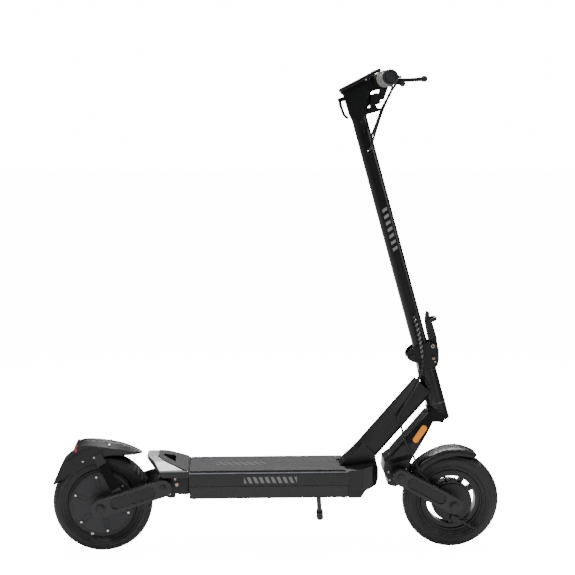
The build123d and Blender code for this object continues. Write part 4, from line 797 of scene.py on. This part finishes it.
# seams of the head tube, and the welds that join the neck to it
seams = bmesh.new()
for height, radius in ((480.2, 24.7), (389.4, 24.7), (392.0, 24.7)):
    loop = [on_column(0, height) + (COLUMN_X * math.cos(t) + Vector((0, math.sin(t), 0))) * radius / 1000
            for t in (2 * math.pi * k / 64 for k in range(64))]
    tube(seams, loop, 0.0008, 8, closed=True)
finish_mesh("head_tube_seams", seams, fork_strip, "frame")
welds = bmesh.new()
for side in (-1, 1):
    weld_route = [(-24, 474, 9), (-18, 470, 20), (-10, 455, 24.5),
                  (-4, 425, 25), (-8, 404, 24.5), (-20, 396, 18)]
    run = smooth_path([on_column(x, h, side * y) for x, h, y in weld_route], 14)
    tube(welds, run, 0.0016, 10, ridge=lambda turn, along: 0.0005 * math.sin(along * 2400))
finish_mesh("neck_welds", welds, paint, "frame")

# rolled lips round the recesses of the swing arms
for label, pivot, axle, half, body in (("front", (762, 199), (899, 124), 12.8, "front_arm"),
                                       ("rear", (159, 178), (0, 127.5), 14.3, "rear_arm")):
    lips = bmesh.new()
    ends = [(pivot[0] * a + axle[0] * (1 - a), pivot[1] * a + axle[1] * (1 - a)) for a in (0.78, 0.25)]
    run = Vector((ends[1][0] - ends[0][0], ends[1][1] - ends[0][1]))
    heading = math.atan2(run.y, run.x)
    for side in (-1, 1):
        loop = []
        for k in range(40):
            t = 2 * math.pi * k / 40 + math.pi / 80
            mid = ends[1] if math.cos(t) > 0 else ends[0]
            across, rise = half * math.cos(heading + t), half * math.sin(heading + t)
            loop.append(at(mid[0] + across, side * 88.1, mid[1] + rise))
        tube(lips, loop, 0.0011, 8, closed=True)
    finish_mesh(label + "_arm_lips", lips, arm_coat, body)

# ---------------------------------------------------------------- cables that run across joints, built in one fixed shape
wrap_black = soft_rubber("spiral_wrap", (0.012, 0.012, 0.012), rough=0.24, edge=0.0)
# the wrap's crests are coloured pale grey: painted highlight
crest_highlight = wrap_black.attribute("crest_highlight")
wrap_black.set(color=crest_highlight.between(0.45, 0.9).mix((0.006, 0.006, 0.006), (0.2, 0.2, 0.205)), coat=0.6)


def spiral_cable(name, points, body, node, radius=3.3, pitch=11.5):
    """A cable in a spiral wrap: a ridge winds around it."""
    path = smooth_path(points, 18)
    mesh = bmesh.new()
    layer = mesh.verts.layers.float.new("crest_highlight")

    def ridge(turn, along):
        return 0.0009 * max(0.0, math.cos(turn - 2 * math.pi * along * 1000 / pitch)) ** 0.6

    tube(mesh, path, radius / 1000, 20, ridge=ridge)
    for vert in mesh.verts:
        near = min(path, key=lambda p: (p - vert.co).length_squared)
        vert[layer] = max(0.0, min(1.0, ((near - vert.co).length * 1000 - radius) / 0.9))
    finish_mesh(name, mesh, wrap_black, body, 80, (node,))


spiral_cable(
    "fold_cable_wrap",
    [on_column(2.5, 625, -17), on_column(2.5, 612, -31), on_column(2.5, 585, -36.8),
     on_column(-1.5, 548, -37.2), on_column(-6, 516, -36.95)],
    ("stem", "steering", on_column(1, 575, -37), on_column(-6, 516, -37)),
    "fold_cable",
)
neck_route = [on_column(-6, 516, -36.95), on_column(-11, 502, -37.2), on_column(-21, 482, -37.8),
              at(803, -35, 424), at(781, -34, 388), at(767, -32.5, 362), at(758, -31.8, 345)]
neck_cable = bmesh.new()


def fading_wrap(turn, along):
    """Height of the spiral wrap, which dies away down the neck."""
    wrap = max(0.0, math.cos(turn - 2 * math.pi * along * 1000 / 11.5))
    return 0.0007 * wrap * max(0.0, min(1.0, (0.07 - along) / 0.02))


tube(neck_cable, smooth_path(neck_route, 16), 0.0035, 18, ridge=fading_wrap)
finish_mesh("neck_cable", neck_cable, jacket, ("steering", "frame", neck_route[0], neck_route[-1]),
            60, ("steer_cable",))
brake_route = [at(758, -31.8, 345), at(761.2, -31.8, 338.5), at(769, -34, 318), at(772, -53, 296),
               at(784, -54, 268), at(795, -53.5, 252)]
brake_line = bmesh.new()
tube(brake_line, smooth_path(brake_route, 12), 0.0026, 14)
finish_mesh("brake_line_upper", brake_line, jacket, ("frame", "steering", brake_route[0], brake_route[-1]),
            60)
arm_route = [at(795, -53.5, 252), at(801, -53.6, 238), at(806, -54, 222), at(810, -55, 206),
             at(828, -53, 191), at(840, -49, 173), at(842, -47.8, 162.5)]
arm_path = smooth_path(arm_route, 12)
split = min(range(len(arm_path)), key=lambda k: (arm_path[k] - arm_route[4]).length)
for label, run, bodies, covers in (
    ("brake_line_lower", arm_path[:split + 1], ("steering", "front_arm"), ("arm_cable",)),
    ("brake_line_end", arm_path[split:], ("front_arm", "brake_cam_arm"), ()),
):
    brake_line = bmesh.new()
    tube(brake_line, run, 0.0026, 14)
    finish_mesh(label, brake_line, jacket, (*bodies, run[0], run[-1]), 60, covers)

# ---------------------------------------------------------------- drum brake anchor at the front hub
anchor = bmesh.new()
rod = [at(912, -49, 78), at(936, -49.5, 63), at(962, -50, 54)]
tube(anchor, smooth_path(rod, 8), 0.0018, 10, ridge=lambda turn, along: 0.0003 * math.sin(along * 5200))
for share, radius in ((0.35, 0.0042), (0.55, 0.0042), (0.95, 0.0036)):
    here = rod[0].lerp(rod[-1], share)
    lathe(anchor, here, rod[-1] - rod[0], [(0, 0), (radius, 0), (radius, 0.005), (0, 0.005)], 6)
finish_mesh("brake_anchor_rod", anchor, dark_bolt, "front_arm")
anchor = bmesh.new()
plate(anchor, [(897, 92), (918, 84), (916, 72), (906, 70), (893, 80)], -46, -50.5)
finish_mesh("brake_anchor_lug", anchor, drum_coat, "front_arm")

# ---------------------------------------------------------------- front fender in one smooth sweep
arch_top = [(800, 206), (812, 222), (837, 240), (873, 257), (908, 262.5), (943, 257), (964, 244.5)]
arch_low = [(800, 190), (811, 196), (833, 216), (865, 234), (901, 243), (925, 243.5), (956, 238)]
tops, lows = (smooth_path([at(x, 0, z) for x, z in row], 8) for row in (arch_top, arch_low))
hood = bmesh.new()
rings = []
for top, low in zip(tops, lows):
    rise = top - low
    section = [(-38.5, 0.0), (-38.5, 0.45), (-38.3, 0.72), (-36.8, 0.88), (-33.5, 0.96),
               (-20, 0.99), (0, 1.0)]
    section += [(-y, h) for y, h in reversed(section[:-1])]
    rings.append([hood.verts.new(low + rise * h + Vector((0, y / 1000, 0))) for y, h in section])
for first, second in zip(rings, rings[1:]):
    join_loops(hood, first, second, closed=False)
bmesh.ops.recalc_face_normals(hood, faces=hood.faces)
up_faces = sum(f.normal.z for f in hood.faces)
bmesh.ops.solidify(hood, geom=hood.faces[:], thickness=0.0022 if up_faces > 0 else -0.0022)
for side in (-1, 1):
    plate(hood, [(806, 214), (824, 216), (824, 172), (806, 172)], side * 36, side * 39.5)
    plate(hood, [(806, 172), (824, 172), (824, 182), (806, 182)], side * 36, side * 70)
finish_mesh("front_fender_hood", hood, fender_plastic, "front_arm", 40, ("front_fender",))

# lip round the hook opening on the kick plate
rim_piece = bmesh.new()


def on_ramp(x, y, lift=0.0):
    return at(x, y, 250.5 + (x - 143) * (221.5 - 250.5) / (221 - 143) + lift)


opening = [(158, 13), (185, 34), (189, 30), (189, -30), (185, -34), (158, -13)]
loop = []
for (x0, y0), (x1, y1) in zip(opening, opening[1:] + opening[:1]):
    for k in range(6):
        t = k / 6
        loop.append(on_ramp(x0 + (x1 - x0) * t, y0 + (y1 - y0) * t, 1.8))
tube(rim_piece, loop, 0.0012, 8, closed=True)
finish_mesh("hook_opening_lip", rim_piece, anodised, "frame")

# ---------------------------------------------------------------- floor, light and camera
floor_mesh = bmesh.new()
bmesh.ops.create_grid(floor_mesh, x_segments=8, y_segments=8, size=30)
floor_data = bpy.data.meshes.new("floor")
floor_mesh.to_mesh(floor_data)
floor = bpy.data.objects.new("floor", floor_data)
bpy.context.collection.objects.link(floor)
floor_finish = Finish("pale_floor")
floor_finish.set(color=floor_finish.noise(3, 3).mix((0.93, 0.93, 0.93), (0.96, 0.96, 0.96)), rough=0.7,
                 glow=(1, 1, 1))
# the floor is white to camera rays only; to all others it glows faintly
seen = floor_finish.nodes.new("ShaderNodeLightPath")
floor_level = floor_finish.nodes.new("ShaderNodeMapRange")
floor_level.inputs["To Min"].default_value = 0.05
floor_level.inputs["To Max"].default_value = 15.0
floor_finish.links.new(seen.outputs["Is Camera Ray"], floor_level.inputs["Value"])
floor_finish.links.new(floor_level.outputs["Result"], floor_finish.shader.inputs["Emission Strength"])
floor_data.materials.append(floor_finish.material)


def area_light(name, spot, aim, size, power):
    data = bpy.data.lights.new(name, "AREA")
    data.shape = "RECTANGLE"
    data.size, data.size_y = size
    data.energy = power
    light = bpy.data.objects.new(name, data)
    light.location = spot
    light.rotation_euler = (Vector(aim) - Vector(spot)).to_track_quat("-Z", "Y").to_euler()
    bpy.context.collection.objects.link(light)


area_light("key", (-1.8, -2.2, 3.2), (0, 0, 0.5), (0.6, 0.6), 62)
area_light("fill", (2.6, -1.8, 1.6), (0, 0, 0.5), (0.3, 1.6), 30)
area_light("top", (0.1, 0.3, 3.4), (0, 0, 0.3), (2.4, 0.4), 150)
area_light("rim", (0.4, 3.0, 2.2), (0, 0, 0.6), (2.4, 0.4), 70)

# like the floor, the room is white to camera rays only, and gives the object little light
world = bpy.data.worlds.new("studio")
bpy.context.scene.world = world
world.use_nodes = True
world_nodes = world.node_tree.nodes
sky = world_nodes["Background"]
sky.inputs[0].default_value = (1, 1, 1, 1)
path_kind = world_nodes.new("ShaderNodeLightPath")
level = world_nodes.new("ShaderNodeMapRange")
level.inputs["To Min"].default_value = 0.05
level.inputs["To Max"].default_value = 16.0
world.node_tree.links.new(path_kind.outputs["Is Camera Ray"], level.inputs["Value"])
world.node_tree.links.new(level.outputs["Result"], sky.inputs[1])

FOCAL_LENGTHS_WIDE = 1497.0 / 575.0  # focal length over the frame width
camera_data = bpy.data.cameras.new("camera")
camera_data.sensor_width = 36.0
camera_data.lens = FOCAL_LENGTHS_WIDE * camera_data.sensor_width
camera_data.clip_end = 100
camera = bpy.data.objects.new("camera", camera_data)
bpy.context.collection.objects.link(camera)
YAW, TILT, ROLL = 0.03455, 0.10954, -0.00269
forward = Vector((math.sin(YAW) * math.cos(TILT), math.cos(YAW) * math.cos(TILT), -math.sin(TILT)))
right = Vector((math.cos(YAW), -math.sin(YAW), 0))
up = right.cross(forward)
right, up = (
    math.cos(ROLL) * right + math.sin(ROLL) * up,
    -math.sin(ROLL) * right + math.cos(ROLL) * up,
)
turn = Matrix((right, up, -forward)).transposed().to_4x4()
camera.matrix_world = Matrix.Translation(at(346.3, -3800, 1096.1)) @ turn
bpy.context.scene.camera = camera
